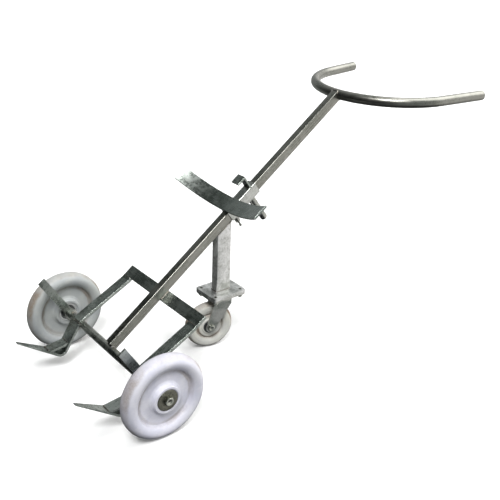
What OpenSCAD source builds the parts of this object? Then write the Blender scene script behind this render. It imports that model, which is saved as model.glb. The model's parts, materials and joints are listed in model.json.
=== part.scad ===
// Drum dolly with a parking caster, standing tilted back on its two wheels and the caster.
// X runs along the axle, +Y points back to the operator, +Z is up.
// The origin is on the floor, under the middle of the whole length.

/* [Wheels] */
// Diameter of the two main wheels
wheel_d = 200; // [180:2:220]
// Distance between the mid planes of the main wheels
wheel_track = 450; // [440:1:470]
// Widest part of a main wheel
wheel_w = 36; // [32:1:38]
// Diameter of the axle shaft
axle_d = 20; // [18:1:20]

/* [Frame] */
// Angle of the spine above the floor in the parked pose
spine_angle = 36.6; // [36.2:0.1:37]
// Length of the spine from the axle centre to its top end
spine_len = 838; // [760:1:900]
// Width of the spine tube across the dolly
spine_w = 20; // [18:1:22]
// Depth of the spine tube, front to back
spine_d = 25; // [24:1:26]
// Wall of the spine tube
spine_wall = 2; // [1.5:0.5:3]
// Width of the flat bar of the cross rail and side rails
rail_w = 30; // [26:1:34]
// Thickness of that flat bar
rail_t = 8; // [6:1:10]
// Overall length of the cross rail
cross_rail_len = 312; // [300:2:330]
// Distance from the axle centre to the lower edge of the cross rail
cross_rail_at = 162; // [150:1:180]

/* [Fork arms and toes] */
// Distance from the middle of the dolly to the middle of a fork arm
arm_x = 186; // [184:0.5:188]
// Length of a fork arm from the axle centre
arm_len = 136; // [110:1:150]
// Width of a fork arm
arm_w = 20; // [18:1:24]
// Thickness of a fork arm
arm_t = 5; // [4:0.5:6]
// Distance from the middle of the dolly to the middle of a toe
toe_x = 144; // [140:1:148]
// Width of a toe at the bend
toe_w = 38; // [30:1:40]
// Width of a toe at its tip
toe_tip_w = 11; // [8:1:20]
// Thickness of a toe
toe_t = 6; // [5:0.5:8]
// Length of the leg of a toe, from the axle centre line
toe_leg = 91; // [80:1:95]
// Reach of a toe, from the axle centre line
toe_reach = 138; // [120:1:150]

/* [Post and caster] */
// Width of the post across the dolly
post_w = 22; // [20:1:26]
// Depth of the post, front to back
post_d = 42; // [38:1:46]
// Distance of the swivel axis behind the axle
post_y = 321; // [316:1:326]
// Height of the top face of the mounting plate
plate_z = 161; // [160:0.5:162]
// Size of the mounting plate across the dolly
plate_x = 80; // [76:1:90]
// Size of the mounting plate, front to back
plate_y = 98; // [94:1:110]
// Thickness of the mounting plate
plate_t = 8; // [6:1:10]
// Diameter of the caster wheel
caster_d = 125; // [120:1:126]
// Width of the caster wheel
caster_w = 27; // [24:1:30]
// Trail of the caster wheel behind its swivel axis
caster_trail = 32; // [28:1:36]
// Direction in which the caster trails, turned from straight ahead
caster_turn = 16; // [-30:1:30]

/* [Carriage] */
// Distance from the axle centre to the lower end of the parked sleeve
sleeve_at = 423; // [422:1:440]
// Length of the sleeve
sleeve_len = 100; // [90:1:110]
// Running gap between the spine and the sleeve on each side
sleeve_gap = 0.4; // [0.3:0.05:0.6]
// Wall of the sleeve
sleeve_wall = 2.6; // [2:0.1:3]
// Radius of the drum that the cradle fits
drum_r = 297; // [285:1:305]
// Half angle of the cradle strip
cradle_half = 32; // [26:1:34]
// Width of the cradle strip
cradle_w = 40; // [36:1:44]
// Thickness of the cradle strip
cradle_t = 5; // [4:0.5:6]
// Height of the hook above the front of the sleeve
hook_h = 37; // [30:1:42]
// Length of the hook's nose
hook_nose = 26; // [20:1:32]

/* [Handle] */
// Diameter of the handle tube
handle_d = 25; // [22:1:28]
// Wall of the handle tube
handle_wall = 2; // [1.5:0.5:3]
// Radius of the bow of the handle, to the tube's centre line
bow_r = 198; // [190:1:206]
// Half angle of the bow
bow_half = 82; // [78:1:86]
// Length of the straight end of the handle's right arm
arm_end = 136; // [110:1:150]
// How much shorter the straight end of the left arm is
arm_trim = 30; // [0:1:40]

/* [Hidden] */
run = 0.05;                         // radial clearance of a running fit
wheel_r = wheel_d / 2;
wheel_x = wheel_track / 2;
axle_r = axle_d / 2;
spine_n = 4.9;                      // the spine's centre line lies this far in front of the axle
spine_front = spine_n + spine_d / 2;
spine_back = spine_n - spine_d / 2;
spine_start = axle_r - 1;           // the square end of the spine sits on the axle
spine_end = spine_len + 6;
rail_x = cross_rail_len / 2 - rail_w / 2;

// Main wheel
hub_half = 17;                      // half the distance between the outer seats of the bearings' washers
hub_recess = 3;                     // depth of the round recess that the washer sits in
hub_recess_r = 26.5;
boss_r = 34;
web_half = 7;
rim_in_r = 68;
bearing_od = 47;                    // deep groove ball bearing, 20 x 47 x 14
bearing_w = 14;
inner_ring_od = 29;
outer_ring_id = 39;
ball_pitch_r = (inner_ring_od + outer_ring_id) / 4;
ball_r = 3.9;
cap_r = 25;
cap_t = 2.5;
end_play = 0.4;                     // between a hub and what holds it
axle_half = wheel_x + hub_half + end_play;
bolt_d = 12;
bolt_head = 19;                     // across flats
bolt_head_h = 7.5;
thread_deep = 24;
collar_r = 15;

// Toe
toe_angle = 57;                     // the toe's leg points this far below the horizon
toe_off = axle_r + toe_t / 2;       // the leg lies against the front of the axle
toe_bend_r = 18;                    // outer radius of the bend
toe_top = 1;                        // the leg starts this far below the axle's centre line
toe_tip_t = 2;
brace_t = 4;
brace_leg = 27;                     // where the brace meets the leg and the plate, from the corner
brace_toe = 34;

// Caster
caster_r = caster_d / 2;
caster_plate_t = 4.5;
caster_plate_z = plate_z - plate_t - caster_plate_t;
bolt_px = 30;                       // half spacing of the four bolts
bolt_py = 38.5;
m8 = 8;
m8_hole = 8.8;
m8_head = 13;
m8_head_h = 5.3;
m8_nut_h = 6.5;
race_r = 31;
race_h = 6.5;
swivel_ball_r = 3;
swivel_pitch_r = 23;
swivel_balls_n = 18;
crown_gap = 1;                      // between the upper race and the crown
crown_z = caster_plate_z - race_h - crown_gap;
crown_t = 4;
crown_r = 30;
king_r = 6;
king_flange_r = 11;
king_flange_t = 5;
leg_t = 4;
leg_in = caster_w / 2 + 4;          // inner face of a fork leg
leg_top_w = 44;
leg_lap = 1.5;                      // the legs reach this far into the crown
leg_end_r = 13;
caster_bolt_d = 10;
caster_bush_r = 8;
roller_r = 2;
rollers_n = 12;
caster_hub_r = 22;
caster_hub_half = caster_w / 2 + 1.5;
caster_bore_r = caster_bush_r + 2 * roller_r + 2 * run;
cover_t = 1.5;

// Carriage
sleeve_ix = spine_w + 2 * sleeve_gap;
sleeve_in = spine_d + 2 * sleeve_gap;
sleeve_ox = sleeve_ix + 2 * sleeve_wall;
sleeve_on = sleeve_in + 2 * sleeve_wall;
sleeve_front = spine_n + sleeve_on / 2;
sleeve_back = spine_n - sleeve_on / 2;
cradle_n = 36.4;                    // front of the strip at its middle
cradle_s = sleeve_at - 4;
hook_t = 5;
hook_s = sleeve_at + sleeve_len - 17;
grip_s = sleeve_at + 75.5;
grip_r = 9;
grip_len = 82;
grip_dome = 4;
screw_s = sleeve_at + 14;
screw_d = 8;
screw_boss_r = 7.5;
screw_boss_h = 9;
screw_head_r = 6.5;
screw_head_h = 11;
tommy_r = 2.5;
tommy_len = 46;
tommy_ball_r = 3.6;
tommy_turn = 20;                    // the tommy bar's direction in the parked pose

// Handle
handle_r = handle_d / 2;
bow_s = spine_len + 10;             // where the bow crosses the end of the spine
bow_rise = 0.8;                     // slope of the handle, in degrees
plug_t = 5;
lap = 0.5;                          // the straight ends start this far inside the bow
seam = 0.01;                        // and their walls lie this far inside its walls

// The origin lies half way from the tip of the toes to the ends of the handle
tip_reach = toe_reach * sin(toe_angle) + (toe_leg - (toe_t - toe_tip_t) / 2) * cos(toe_angle);
handle_reach = bow_s * cos(spine_angle) - spine_n * sin(spine_angle) + bow_r * (1 - cos(bow_half))
    + arm_end * sin(bow_half) + norm([plug_t * sin(bow_half), handle_r * cos(bow_half)]);
axle_y = (tip_reach - handle_reach) / 2;
swivel_y = axle_y + post_y;

// ---- Frames of reference ----

// Moves children from the spine's frame: X across, Y up along the spine, Z out of its front
module on_spine() {
    translate([0, axle_y, wheel_r]) rotate([spine_angle, 0, 0]) children();
}

// Draws a profile of (along the spine, out of its front) as a bar of width w centred at x
module spine_bar(w, x = 0) {
    on_spine() translate([x - w / 2, 0, 0]) rotate([90, 0, 90]) linear_extrude(w) children();
}

// Puts children at a wheel: side is -1 for left and 1 for right, and +X points outwards
module at_wheel(side) {
    translate([side * wheel_x, axle_y, wheel_r]) rotate([0, 0, side > 0 ? 0 : 180]) children();
}

// Revolves a profile of (radius, place along the axis) about the X axis
module about_x() {
    rotate([0, 90, 0]) rotate_extrude($fn = 96) children();
}

// A round bar along X from x0 to x1
module x_rod(r, x0, x1) {
    translate([x0, 0, 0]) rotate([0, 90, 0]) cylinder(r = r, h = x1 - x0, $fn = 64);
}

// A hexagon along X from x0 to x1, with its size across the flats
module x_hex(af, x0, x1) {
    translate([x0, 0, 0]) rotate([0, 90, 0]) cylinder(d = af / cos(30), h = x1 - x0, $fn = 6);
}

// The caster's own frame: the origin on the floor below the swivel axis, trailing to -Y
module at_caster() {
    translate([0, swivel_y, 0]) rotate([0, 0, -caster_turn]) children();
}

// The caster wheel's centre, with X along its axle
module at_caster_axle() {
    at_caster() translate([0, -caster_trail, caster_r]) children();
}

// A place on the back of the sleeve, s along the spine: +Z points away from the spine
module on_sleeve_back(s) {
    on_spine() translate([0, s, sleeve_back]) rotate([180, 0, 0]) children();
}

// ---- Welded frame ----

module spine_tube() {
    color("silver") difference() {
        on_spine() difference() {
            translate([-spine_w / 2, spine_start, spine_back])
                cube([spine_w, spine_end - spine_start, spine_d]);
            translate([-spine_w / 2 + spine_wall, 0, spine_back + spine_wall])
                cube([spine_w - 2 * spine_wall, spine_end + 1, spine_d - 2 * spine_wall]);
        }
        // the ends are coped round the axle and the handle
        translate([0, axle_y, wheel_r]) x_rod(axle_r, -spine_w, spine_w);
        at_bow() x_rod(handle_r, -spine_w, spine_w);
    }
}

module axle_shaft() {
    color("gray") translate([0, axle_y, wheel_r]) difference() {
        x_rod(axle_r, -axle_half, axle_half);
        for (side = [-1, 1])
            rotate([0, 0, side > 0 ? 0 : 180])
                x_rod(bolt_d / 2 + run, axle_half - thread_deep, axle_half + 1);
    }
}

module cross_rail() {
    color("dimgray") on_spine()
        translate([-cross_rail_len / 2, cross_rail_at, spine_back - rail_t])
            cube([cross_rail_len, rail_w, rail_t]);
}

// From the top of the axle back to the lower edge of the cross rail, with a bend near its end
module side_rail(side) {
    bend = cross_rail_at - 8;
    color("dimgray") spine_bar(rail_w, side * rail_x)
        polygon([
            [0, axle_r], [0, axle_r + rail_t], [bend, spine_back], [cross_rail_at, spine_back],
            [cross_rail_at, spine_back - rail_t], [bend, spine_back - rail_t]
        ]);
}

module left_side_rail() { side_rail(-1); }
module right_side_rail() { side_rail(1); }

// Flat bar on edge, coped over the axle and leaning back a little
module fork_arm(side) {
    lean = 12;
    foot = axle_r / 3;
    color("dimgray") difference() {
        spine_bar(arm_t, side * arm_x)
            polygon([
                [-arm_w / 2, foot], [lean - arm_w / 2, arm_len],
                [lean + arm_w / 2, arm_len], [arm_w / 2, foot]
            ]);
        translate([side * arm_x, axle_y, wheel_r]) x_rod(axle_r, -arm_t, arm_t);
    }
}

module left_fork_arm() { fork_arm(-1); }
module right_fork_arm() { fork_arm(1); }

// The side view of a toe, in (down the leg, forward): a leg, a rounded bend and a thinning plate
module toe_profile() {
    back = toe_off - toe_t / 2;
    front = toe_off + toe_t / 2;
    bend_c = [toe_leg - toe_bend_r, back + toe_bend_r];
    thin = (toe_t - toe_tip_t) / 2;
    translate([toe_top, back]) square([bend_c[0] - toe_top, toe_t]);
    intersection() {
        translate(bend_c) difference() {
            circle(r = toe_bend_r, $fn = 96);
            circle(r = toe_bend_r - toe_t, $fn = 96);
        }
        translate([bend_c[0], back]) square(toe_bend_r);
    }
    polygon([
        [toe_leg - toe_t, bend_c[1]], [toe_leg, bend_c[1]],
        [toe_leg - thin, toe_reach], [toe_leg - toe_t + thin, toe_reach]
    ]);
}

// The plan of a toe: full width down to the bend, then a taper to the tip
module toe_plan() {
    root = toe_off + toe_bend_r;
    polygon([
        [-toe_w / 2, 0], [toe_w / 2, 0], [toe_w / 2, root],
        [toe_tip_w / 2, toe_reach], [-toe_tip_w / 2, toe_reach], [-toe_w / 2, root]
    ]);
}

// A toe's frame: Y down along its leg, Z forward along its plate, from the axle's centre line
module toe_frame(side) {
    translate([side * toe_x, axle_y, wheel_r]) rotate([180 + toe_angle, 0, 0]) mirror([0, 0, 1]) children();
}

module toe(side) {
    color("dimgray") toe_frame(side) intersection() {
        translate([-toe_w / 2, 0, 0]) rotate([90, 0, 90]) linear_extrude(toe_w) toe_profile();
        translate([0, toe_leg + 1, 0]) rotate([90, 0, 0]) linear_extrude(toe_leg + 2) toe_plan();
    }
}

module left_toe() { toe(-1); }
module right_toe() { toe(1); }

// A strip set across the inside of the bend
module toe_brace(side) {
    front = toe_off + toe_t / 2;
    top = toe_leg - toe_t;
    color("dimgray") toe_frame(side)
        translate([-toe_w / 2 + 4, 0, 0]) rotate([90, 0, 90]) linear_extrude(toe_w - 8)
            polygon([
                [top - brace_leg - brace_t, front], [top, front + brace_toe + brace_t],
                [top, front + brace_toe - brace_t], [top - brace_leg + brace_t, front]
            ]);
}

module left_toe_brace() { toe_brace(-1); }
module right_toe_brace() { toe_brace(1); }

// Stands on the mounting plate, with its top cut to the slope of the spine
module post_tube() {
    wall = 2;
    color("lightgray") difference() {
        translate([-post_w / 2, swivel_y - post_d / 2, plate_z]) cube([post_w, post_d, 220]);
        translate([-post_w / 2 + wall, swivel_y - post_d / 2 + wall, plate_z - 1])
            cube([post_w - 2 * wall, post_d - 2 * wall, 222]);
        on_spine() translate([-post_w, 0, spine_back]) cube([2 * post_w, spine_len, 300]);
    }
}

module plate_outline(t) {
    corner = 5;
    difference() {
        translate([-plate_x / 2 + corner, -plate_y / 2 + corner, 0])
            linear_extrude(t) union() {
                square([plate_x - 2 * corner, plate_y - 2 * corner]);
                translate([-corner, 0]) square([plate_x, plate_y - 2 * corner]);
                translate([0, -corner]) square([plate_x - 2 * corner, plate_y]);
                for (x = [0, plate_x - 2 * corner], y = [0, plate_y - 2 * corner])
                    translate([x, y]) circle(r = corner, $fn = 48);
            }
        for (x = [-1, 1], y = [-1, 1])
            translate([x * bolt_px, y * bolt_py, -1]) cylinder(d = m8_hole, h = t + 2, $fn = 48);
    }
}

module mounting_plate() {
    color("lightgray") translate([0, swivel_y, plate_z - plate_t]) plate_outline(plate_t);
}

// The end of the spine, where the bow of the handle crosses it
module at_bow() {
    translate([0, axle_y, wheel_r]) rotate([spine_angle, 0, 0]) translate([0, bow_s, spine_n])
        rotate([-spine_angle, 0, 0]) children();
}

// Length of an arm's straight end: the right side is +1 and the left -1
function arm_length(side) = arm_end - (side < 0 ? arm_trim : 0);

// One arm end of the handle, with +Y along it
module at_arm_end(side) {
    at_bow() rotate([bow_rise, 0, 0])
        translate([side * bow_r * sin(bow_half), bow_r * (1 - cos(bow_half)), 0])
            rotate([0, 0, -side * (90 - bow_half)]) children();
}

module handle_tube() {
    color("silver") {
        at_bow() rotate([bow_rise, 0, 0]) translate([0, bow_r, 0])
            rotate([0, 0, -90 - bow_half]) rotate_extrude(angle = 2 * bow_half, $fn = 180)
                translate([bow_r, 0]) difference() {
                    circle(r = handle_r, $fn = 64);
                    circle(r = handle_r - handle_wall, $fn = 64);
                }
        for (side = [-1, 1])
            at_arm_end(side) rotate([-90, 0, 0]) translate([0, 0, -lap]) difference() {
                cylinder(r = handle_r - seam, h = arm_length(side) + lap, $fn = 64);
                translate([0, 0, -1])
                    cylinder(r = handle_r - handle_wall + seam, h = arm_length(side) + lap + 2, $fn = 64);
            }
    }
}

// Domed plugs in the open ends of the handle tube
module handle_end_plugs() {
    plug_r = handle_r - handle_wall;
    color("silver") for (side = [-1, 1])
        at_arm_end(side) translate([0, arm_length(side), 0]) rotate([-90, 0, 0]) rotate_extrude($fn = 64)
            polygon(concat(
                [[0, -12], [plug_r, -12], [plug_r, 0], [handle_r, 0]],
                [for (a = [10 : 10 : 90]) [handle_r * cos(a), plug_t * sin(a)]]
            ));
}

// ---- Wheels ----

module axle_collars() {
    color("gray") for (side = [-1, 1])
        at_wheel(side) difference() {
            x_rod(collar_r, arm_x + arm_t / 2 - wheel_x, -hub_half - end_play);
            x_rod(axle_r, arm_x - wheel_x, 0);
        }
}

// Half of a ring's section, with a groove for the balls
module ring_section(r0, r1) {
    difference() {
        translate([r0, -bearing_w / 2]) square([r1 - r0, bearing_w]);
        translate([ball_pitch_r, 0]) circle(r = ball_r + run, $fn = 48);
    }
}

// The two bearing places in a hub
module at_bearings() {
    for (x = [-1, 1]) translate([x * (hub_half - 1 - bearing_w / 2), 0, 0]) children();
}

module axle_bearing_inner_rings() {
    color("silver") for (side = [-1, 1])
        at_wheel(side) at_bearings() about_x() ring_section(axle_r, inner_ring_od / 2);
}

module axle_bearing_balls() {
    balls = 8;
    color("silver") for (side = [-1, 1])
        at_wheel(side) at_bearings() for (i = [0 : balls - 1])
            rotate([i * 360 / balls, 0, 0]) translate([0, ball_pitch_r, 0]) sphere(r = ball_r, $fn = 24);
}

module axle_end_washers() {
    inner = hub_half + end_play;
    bore_r = bolt_d / 2 + 0.3;
    color("silver") for (side = [-1, 1])
        at_wheel(side) about_x() polygon([
            [bore_r, inner], [cap_r - 0.8, inner], [cap_r, inner + 0.8], [cap_r, inner + cap_t - 1],
            [cap_r - 1.2, inner + cap_t], [bore_r, inner + cap_t]
        ]);
}

module axle_end_bolts() {
    seat = hub_half + end_play + cap_t;
    top = seat + bolt_head_h;
    color("silver") for (side = [-1, 1])
        at_wheel(side) {
            x_rod(bolt_d / 2, hub_half - thread_deep + 4, seat + 1);
            // the head's corners are chamfered
            intersection() {
                x_hex(bolt_head, seat, top);
                about_x() polygon([
                    [0, seat - 1], [bolt_head, seat - 1], [bolt_head, top - 4.5],
                    [bolt_head / 2 - 0.4, top], [0, top]
                ]);
            }
        }
}

// Points along an elliptic arc from angle a0 to a1
function rim_arc(c, r, a0, a1, n) =
    [for (i = [0 : n]) let (a = a0 + (a1 - a0) * i / n) [c[0] + r[0] * cos(a), c[1] + r[1] * sin(a)]];

// A section from one half of its outline, (radius, place along the axis), and its mirror image
module mirrored_section(half) {
    polygon(concat(half, [for (i = [len(half) - 1 : -1 : 0]) [half[i][0], -half[i][1]]]));
}

// From the bore, over the hub, web and bulged rim, to the tread
module wheel_section() {
    half = wheel_w / 2;
    hub_face = hub_half + hub_recess;
    lip = wheel_r - 16;             // radius at which the rim is widest
    mirrored_section(concat(
        [[axle_r + 2, hub_half - 1 - bearing_w], [bearing_od / 2, hub_half - 1 - bearing_w],
            [bearing_od / 2, hub_half], [hub_recess_r, hub_half], [hub_recess_r, hub_face],
            [boss_r - 2, hub_face], [boss_r, hub_face - 2],
            [boss_r + 2, web_half + 2], [boss_r + 6, web_half], [rim_in_r - 2, web_half]],
        rim_arc([lip, web_half + 2], [lip - rim_in_r, half - web_half - 2], 172, 96, 9),
        rim_arc([lip, 0], [(wheel_r - lip) / cos(12), half], 90, 12, 14)
    ));
}

module wheel(side) {
    color("white") at_wheel(side) about_x() wheel_section();
}

module wheel_bearing_outer_rings(side) {
    color("silver") at_wheel(side) at_bearings() about_x() ring_section(outer_ring_id / 2, bearing_od / 2);
}

module left_wheel() { wheel(-1); }
module right_wheel() { wheel(1); }
module left_wheel_bearing_outer_rings() { wheel_bearing_outer_rings(-1); }
module right_wheel_bearing_outer_rings() { wheel_bearing_outer_rings(1); }

// ---- Caster ----

module caster_top_plate() {
    color("silver") translate([0, swivel_y, caster_plate_z]) difference() {
        plate_outline(caster_plate_t);
        translate([0, 0, -1]) cylinder(r = king_r, h = caster_plate_t + 2, $fn = 48);
    }
}

module at_plate_bolts() {
    for (x = [-1, 1], y = [-1, 1]) translate([x * bolt_px, swivel_y + y * bolt_py, 0]) children();
}

module hex(af, h) { cylinder(d = af / cos(30), h = h, $fn = 6); }

module caster_plate_bolts() {
    // countersunk bolts flush in the plate's top, with hexagon sockets
    color("gray") at_plate_bolts() difference() {
        translate([0, 0, caster_plate_z - m8_nut_h - 3])
            cylinder(d = m8, h = plate_z - caster_plate_z + m8_nut_h + 3 - 0.6, $fn = 48);
        translate([0, 0, plate_z - 4.5]) hex(5, 5);
    }
}

module caster_plate_nuts() {
    color("gray") at_plate_bolts() translate([0, 0, caster_plate_z - m8_nut_h]) difference() {
        hex(m8_head, m8_nut_h);
        translate([0, 0, -1]) cylinder(d = m8, h = m8_nut_h + 2, $fn = 48);
    }
}

module caster_upper_race() {
    color("silver") translate([0, swivel_y, caster_plate_z]) rotate_extrude($fn = 96) difference() {
        polygon([[14, 0], [race_r, 0], [race_r, -race_h + 2], [race_r - 2, -race_h], [14, -race_h]]);
        translate([swivel_pitch_r, -race_h]) circle(r = swivel_ball_r + run, $fn = 48);
    }
}

module caster_swivel_balls() {
    color("silver") translate([0, swivel_y, caster_plate_z - race_h])
        for (i = [0 : swivel_balls_n - 1])
            rotate([0, 0, i * 360 / swivel_balls_n]) translate([swivel_pitch_r, 0, 0])
                sphere(r = swivel_ball_r, $fn = 24);
}

// Riveted into the top plate; its flange carries the crown from below
module caster_king_pin() {
    top = caster_plate_z + caster_plate_t - 0.5;
    color("gray") translate([0, swivel_y, 0]) {
        translate([0, 0, crown_z - crown_t - 0.3 - king_flange_t])
            cylinder(r = king_flange_r, h = king_flange_t, $fn = 64);
        translate([0, 0, crown_z - crown_t - 1])
            cylinder(r = king_r, h = top - crown_z + crown_t + 1, $fn = 64);
    }
}

// One fork leg seen from the side, in (back, up) from the wheel's axle
module leg_profile() {
    top = crown_z - crown_t + leg_lap - caster_r;
    circle(r = leg_end_r, $fn = 64);
    polygon([
        [-leg_end_r, 0], [leg_end_r, -2], [caster_trail + leg_top_w / 2, top - 12],
        [caster_trail + leg_top_w / 2, top], [caster_trail - leg_top_w / 2, top],
        [caster_trail - leg_top_w / 2, top - 8]
    ]);
}

module caster_fork() {
    color("silver") {
        at_caster() difference() {
            union() {
                translate([0, 0, crown_z - crown_t]) cylinder(r = crown_r, h = crown_t, $fn = 96);
                translate([-leg_in - leg_t, -leg_top_w / 2, crown_z - crown_t])
                    cube([2 * (leg_in + leg_t), leg_top_w, crown_t]);
            }
            translate([0, 0, crown_z - crown_t - 1]) cylinder(r = king_r + run, h = crown_t + 2, $fn = 64);
            // the lower ball race
            translate([0, 0, crown_z + crown_gap]) rotate_extrude($fn = 96)
                translate([swivel_pitch_r, 0]) circle(r = swivel_ball_r + run, $fn = 48);
        }
        for (side = [-1, 1])
            at_caster_axle() difference() {
                translate([side > 0 ? leg_in : -leg_in - leg_t, 0, 0])
                    rotate([90, 0, 90]) linear_extrude(leg_t) leg_profile();
                x_rod(caster_bolt_d / 2, -leg_in - leg_t - 1, leg_in + leg_t + 1);
            }
    }
}

module caster_axle_bolt() {
    end = leg_in + leg_t;
    color("silver") at_caster_axle() {
        x_rod(caster_bolt_d / 2, -end - 10, end + 1);
        x_hex(16, end, end + 6);
        x_rod(10, end, end + 1.2);
    }
}

module caster_axle_nut() {
    end = leg_in + leg_t;
    color("silver") at_caster_axle() difference() {
        x_hex(16, -end - 8, -end);
        x_rod(caster_bolt_d / 2, -end - 9, -end + 1);
    }
}

module caster_axle_bush() {
    color("silver") at_caster_axle() difference() {
        x_rod(caster_bush_r, -leg_in, leg_in);
        x_rod(caster_bolt_d / 2, -leg_in - 1, leg_in + 1);
    }
}

module caster_section() {
    half = caster_w / 2;
    lip = caster_r - 10;            // radius at which the rim is widest
    mirrored_section(concat(
        [[caster_bore_r, caster_hub_half - 1], [caster_hub_r - 1, caster_hub_half - 1],
            [caster_hub_r, caster_hub_half - 1.5], [caster_hub_r + 1, half - 4],
            [caster_hub_r + 4, half - 6], [lip - 10, half - 6], [lip - 8, half - 3], [lip - 5, half]],
        rim_arc([lip, 0], [(caster_r - lip) / cos(12), half], 90, 12, 12)
    ));
}

module caster_wheel() {
    color("ivory") at_caster_axle() about_x() caster_section();
}

module caster_hub_rollers() {
    pitch_r = caster_bush_r + run + roller_r;
    color("gray") at_caster_axle() for (i = [0 : rollers_n - 1])
        rotate([i * 360 / rollers_n, 0, 0]) translate([0, pitch_r, 0])
            x_rod(roller_r, -caster_w / 2 + 1, caster_w / 2 - 1);
}

module caster_hub_covers() {
    face = caster_hub_half - 1;
    color("gray") at_caster_axle() for (side = [0, 1])
        mirror([side, 0, 0]) difference() {
            x_rod(caster_hub_r - 4, face, face + cover_t);
            x_rod(caster_bush_r + 0.4, face - 1, face + cover_t + 1);
        }
}

// ---- Carriage ----

module carriage_sleeve() {
    color("silver") on_spine() difference() {
        translate([-sleeve_ox / 2, sleeve_at, sleeve_back]) cube([sleeve_ox, sleeve_len, sleeve_on]);
        translate([-sleeve_ix / 2, sleeve_at - 1, spine_n - sleeve_in / 2])
            cube([sleeve_ix, sleeve_len + 2, sleeve_in]);
        translate([0, screw_s, sleeve_back - 1])
            cylinder(d = screw_d + 2 * run, h = sleeve_wall + 2, $fn = 48);
    }
}

// Fills the space between the sleeve and the back of the cradle strip
module cradle_spacer() {
    color("dimgray") on_spine() difference() {
        translate([-sleeve_ox / 2, sleeve_at + 1, sleeve_front])
            cube([sleeve_ox, cradle_w - 10, cradle_n - cradle_t - sleeve_front + 2]);
        translate([0, sleeve_at - 1, cradle_n + drum_r]) rotate([-90, 0, 0])
            cylinder(r = drum_r + cradle_t, h = cradle_w, $fn = 360);
    }
}

module drum_cradle() {
    color("dimgray") on_spine() translate([0, cradle_s, cradle_n + drum_r]) rotate([-90, 0, 0])
        rotate([0, 0, 90 - cradle_half]) rotate_extrude(angle = 2 * cradle_half, $fn = 720)
            translate([drum_r, 0]) square([cradle_t, cradle_w]);
}

module drum_hook() {
    color("dimgray") spine_bar(sleeve_ox)
        polygon([
            [hook_s, sleeve_front], [hook_s + hook_t, sleeve_front], [hook_s + hook_t, sleeve_front + hook_h],
            [hook_s + hook_t - hook_nose, sleeve_front + hook_h],
            [hook_s + hook_t - hook_nose, sleeve_front + hook_h - hook_t],
            [hook_s, sleeve_front + hook_h - hook_t]
        ]);
}

// ---- Grip and clamp screw ----

module carriage_grip() {
    body = grip_len - grip_dome;
    color("silver") on_sleeve_back(grip_s) rotate_extrude($fn = 96) polygon(concat(
        [[0, 0], [grip_r, 0]],
        [for (a = [0 : 10 : 90]) [grip_r * cos(a), body + grip_dome * sin(a)]]
    ));
}

module clamp_screw_boss() {
    color("gray") on_sleeve_back(screw_s) difference() {
        cylinder(r = screw_boss_r, h = screw_boss_h, $fn = 64);
        translate([0, 0, -1]) cylinder(d = screw_d + 2 * run, h = screw_boss_h + 2, $fn = 64);
    }
}

// Its tip stops just short of the back of the spine
module clamp_screw() {
    neck = screw_boss_h + 2;
    color("gray") on_sleeve_back(screw_s) difference() {
        union() {
            translate([0, 0, -sleeve_wall]) cylinder(d = screw_d, h = sleeve_wall + neck + 1, $fn = 64);
            translate([0, 0, neck]) cylinder(r = screw_head_r, h = screw_head_h, $fn = 64);
        }
        translate([0, 0, neck + screw_head_h / 2]) rotate([0, 0, tommy_turn])
            x_rod(tommy_r, -screw_d * 2, screw_d * 2);
    }
}

// Slides through the head of the clamp screw and has a ball at each end
module tommy_bar() {
    half = tommy_len / 2;
    color("silver") on_sleeve_back(screw_s)
        translate([0, 0, screw_boss_h + 2 + screw_head_h / 2]) rotate([0, 0, tommy_turn]) {
            x_rod(tommy_r, -half, half);
            for (x = [-half, half]) translate([x, 0, 0]) sphere(r = tommy_ball_r, $fn = 48);
        }
}

spine_tube();
axle_shaft();
cross_rail();
left_side_rail();
right_side_rail();
left_fork_arm();
right_fork_arm();
left_toe();
right_toe();
left_toe_brace();
right_toe_brace();
post_tube();
mounting_plate();
handle_tube();
handle_end_plugs();
axle_collars();
axle_bearing_inner_rings();
axle_bearing_balls();
axle_end_washers();
axle_end_bolts();
left_wheel();
left_wheel_bearing_outer_rings();
right_wheel();
right_wheel_bearing_outer_rings();
caster_top_plate();
caster_plate_bolts();
caster_plate_nuts();
caster_upper_race();
caster_swivel_balls();
caster_king_pin();
caster_fork();
caster_axle_bolt();
caster_axle_nut();
caster_axle_bush();
caster_wheel();
caster_hub_rollers();
caster_hub_covers();
carriage_sleeve();
cradle_spacer();
drum_cradle();
drum_hook();
carriage_grip();
clamp_screw_boss();
clamp_screw();
tommy_bar();
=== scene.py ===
# Looks of a drum dolly: its frame, wheels, caster and carriage, with welds and a studio.
# Lengths are in metres. X runs along the axle, +Y points back to the operator, +Z is up.

import json
import math

import bmesh
import bpy
import numpy as np
from mathutils import Matrix, Vector

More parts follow.
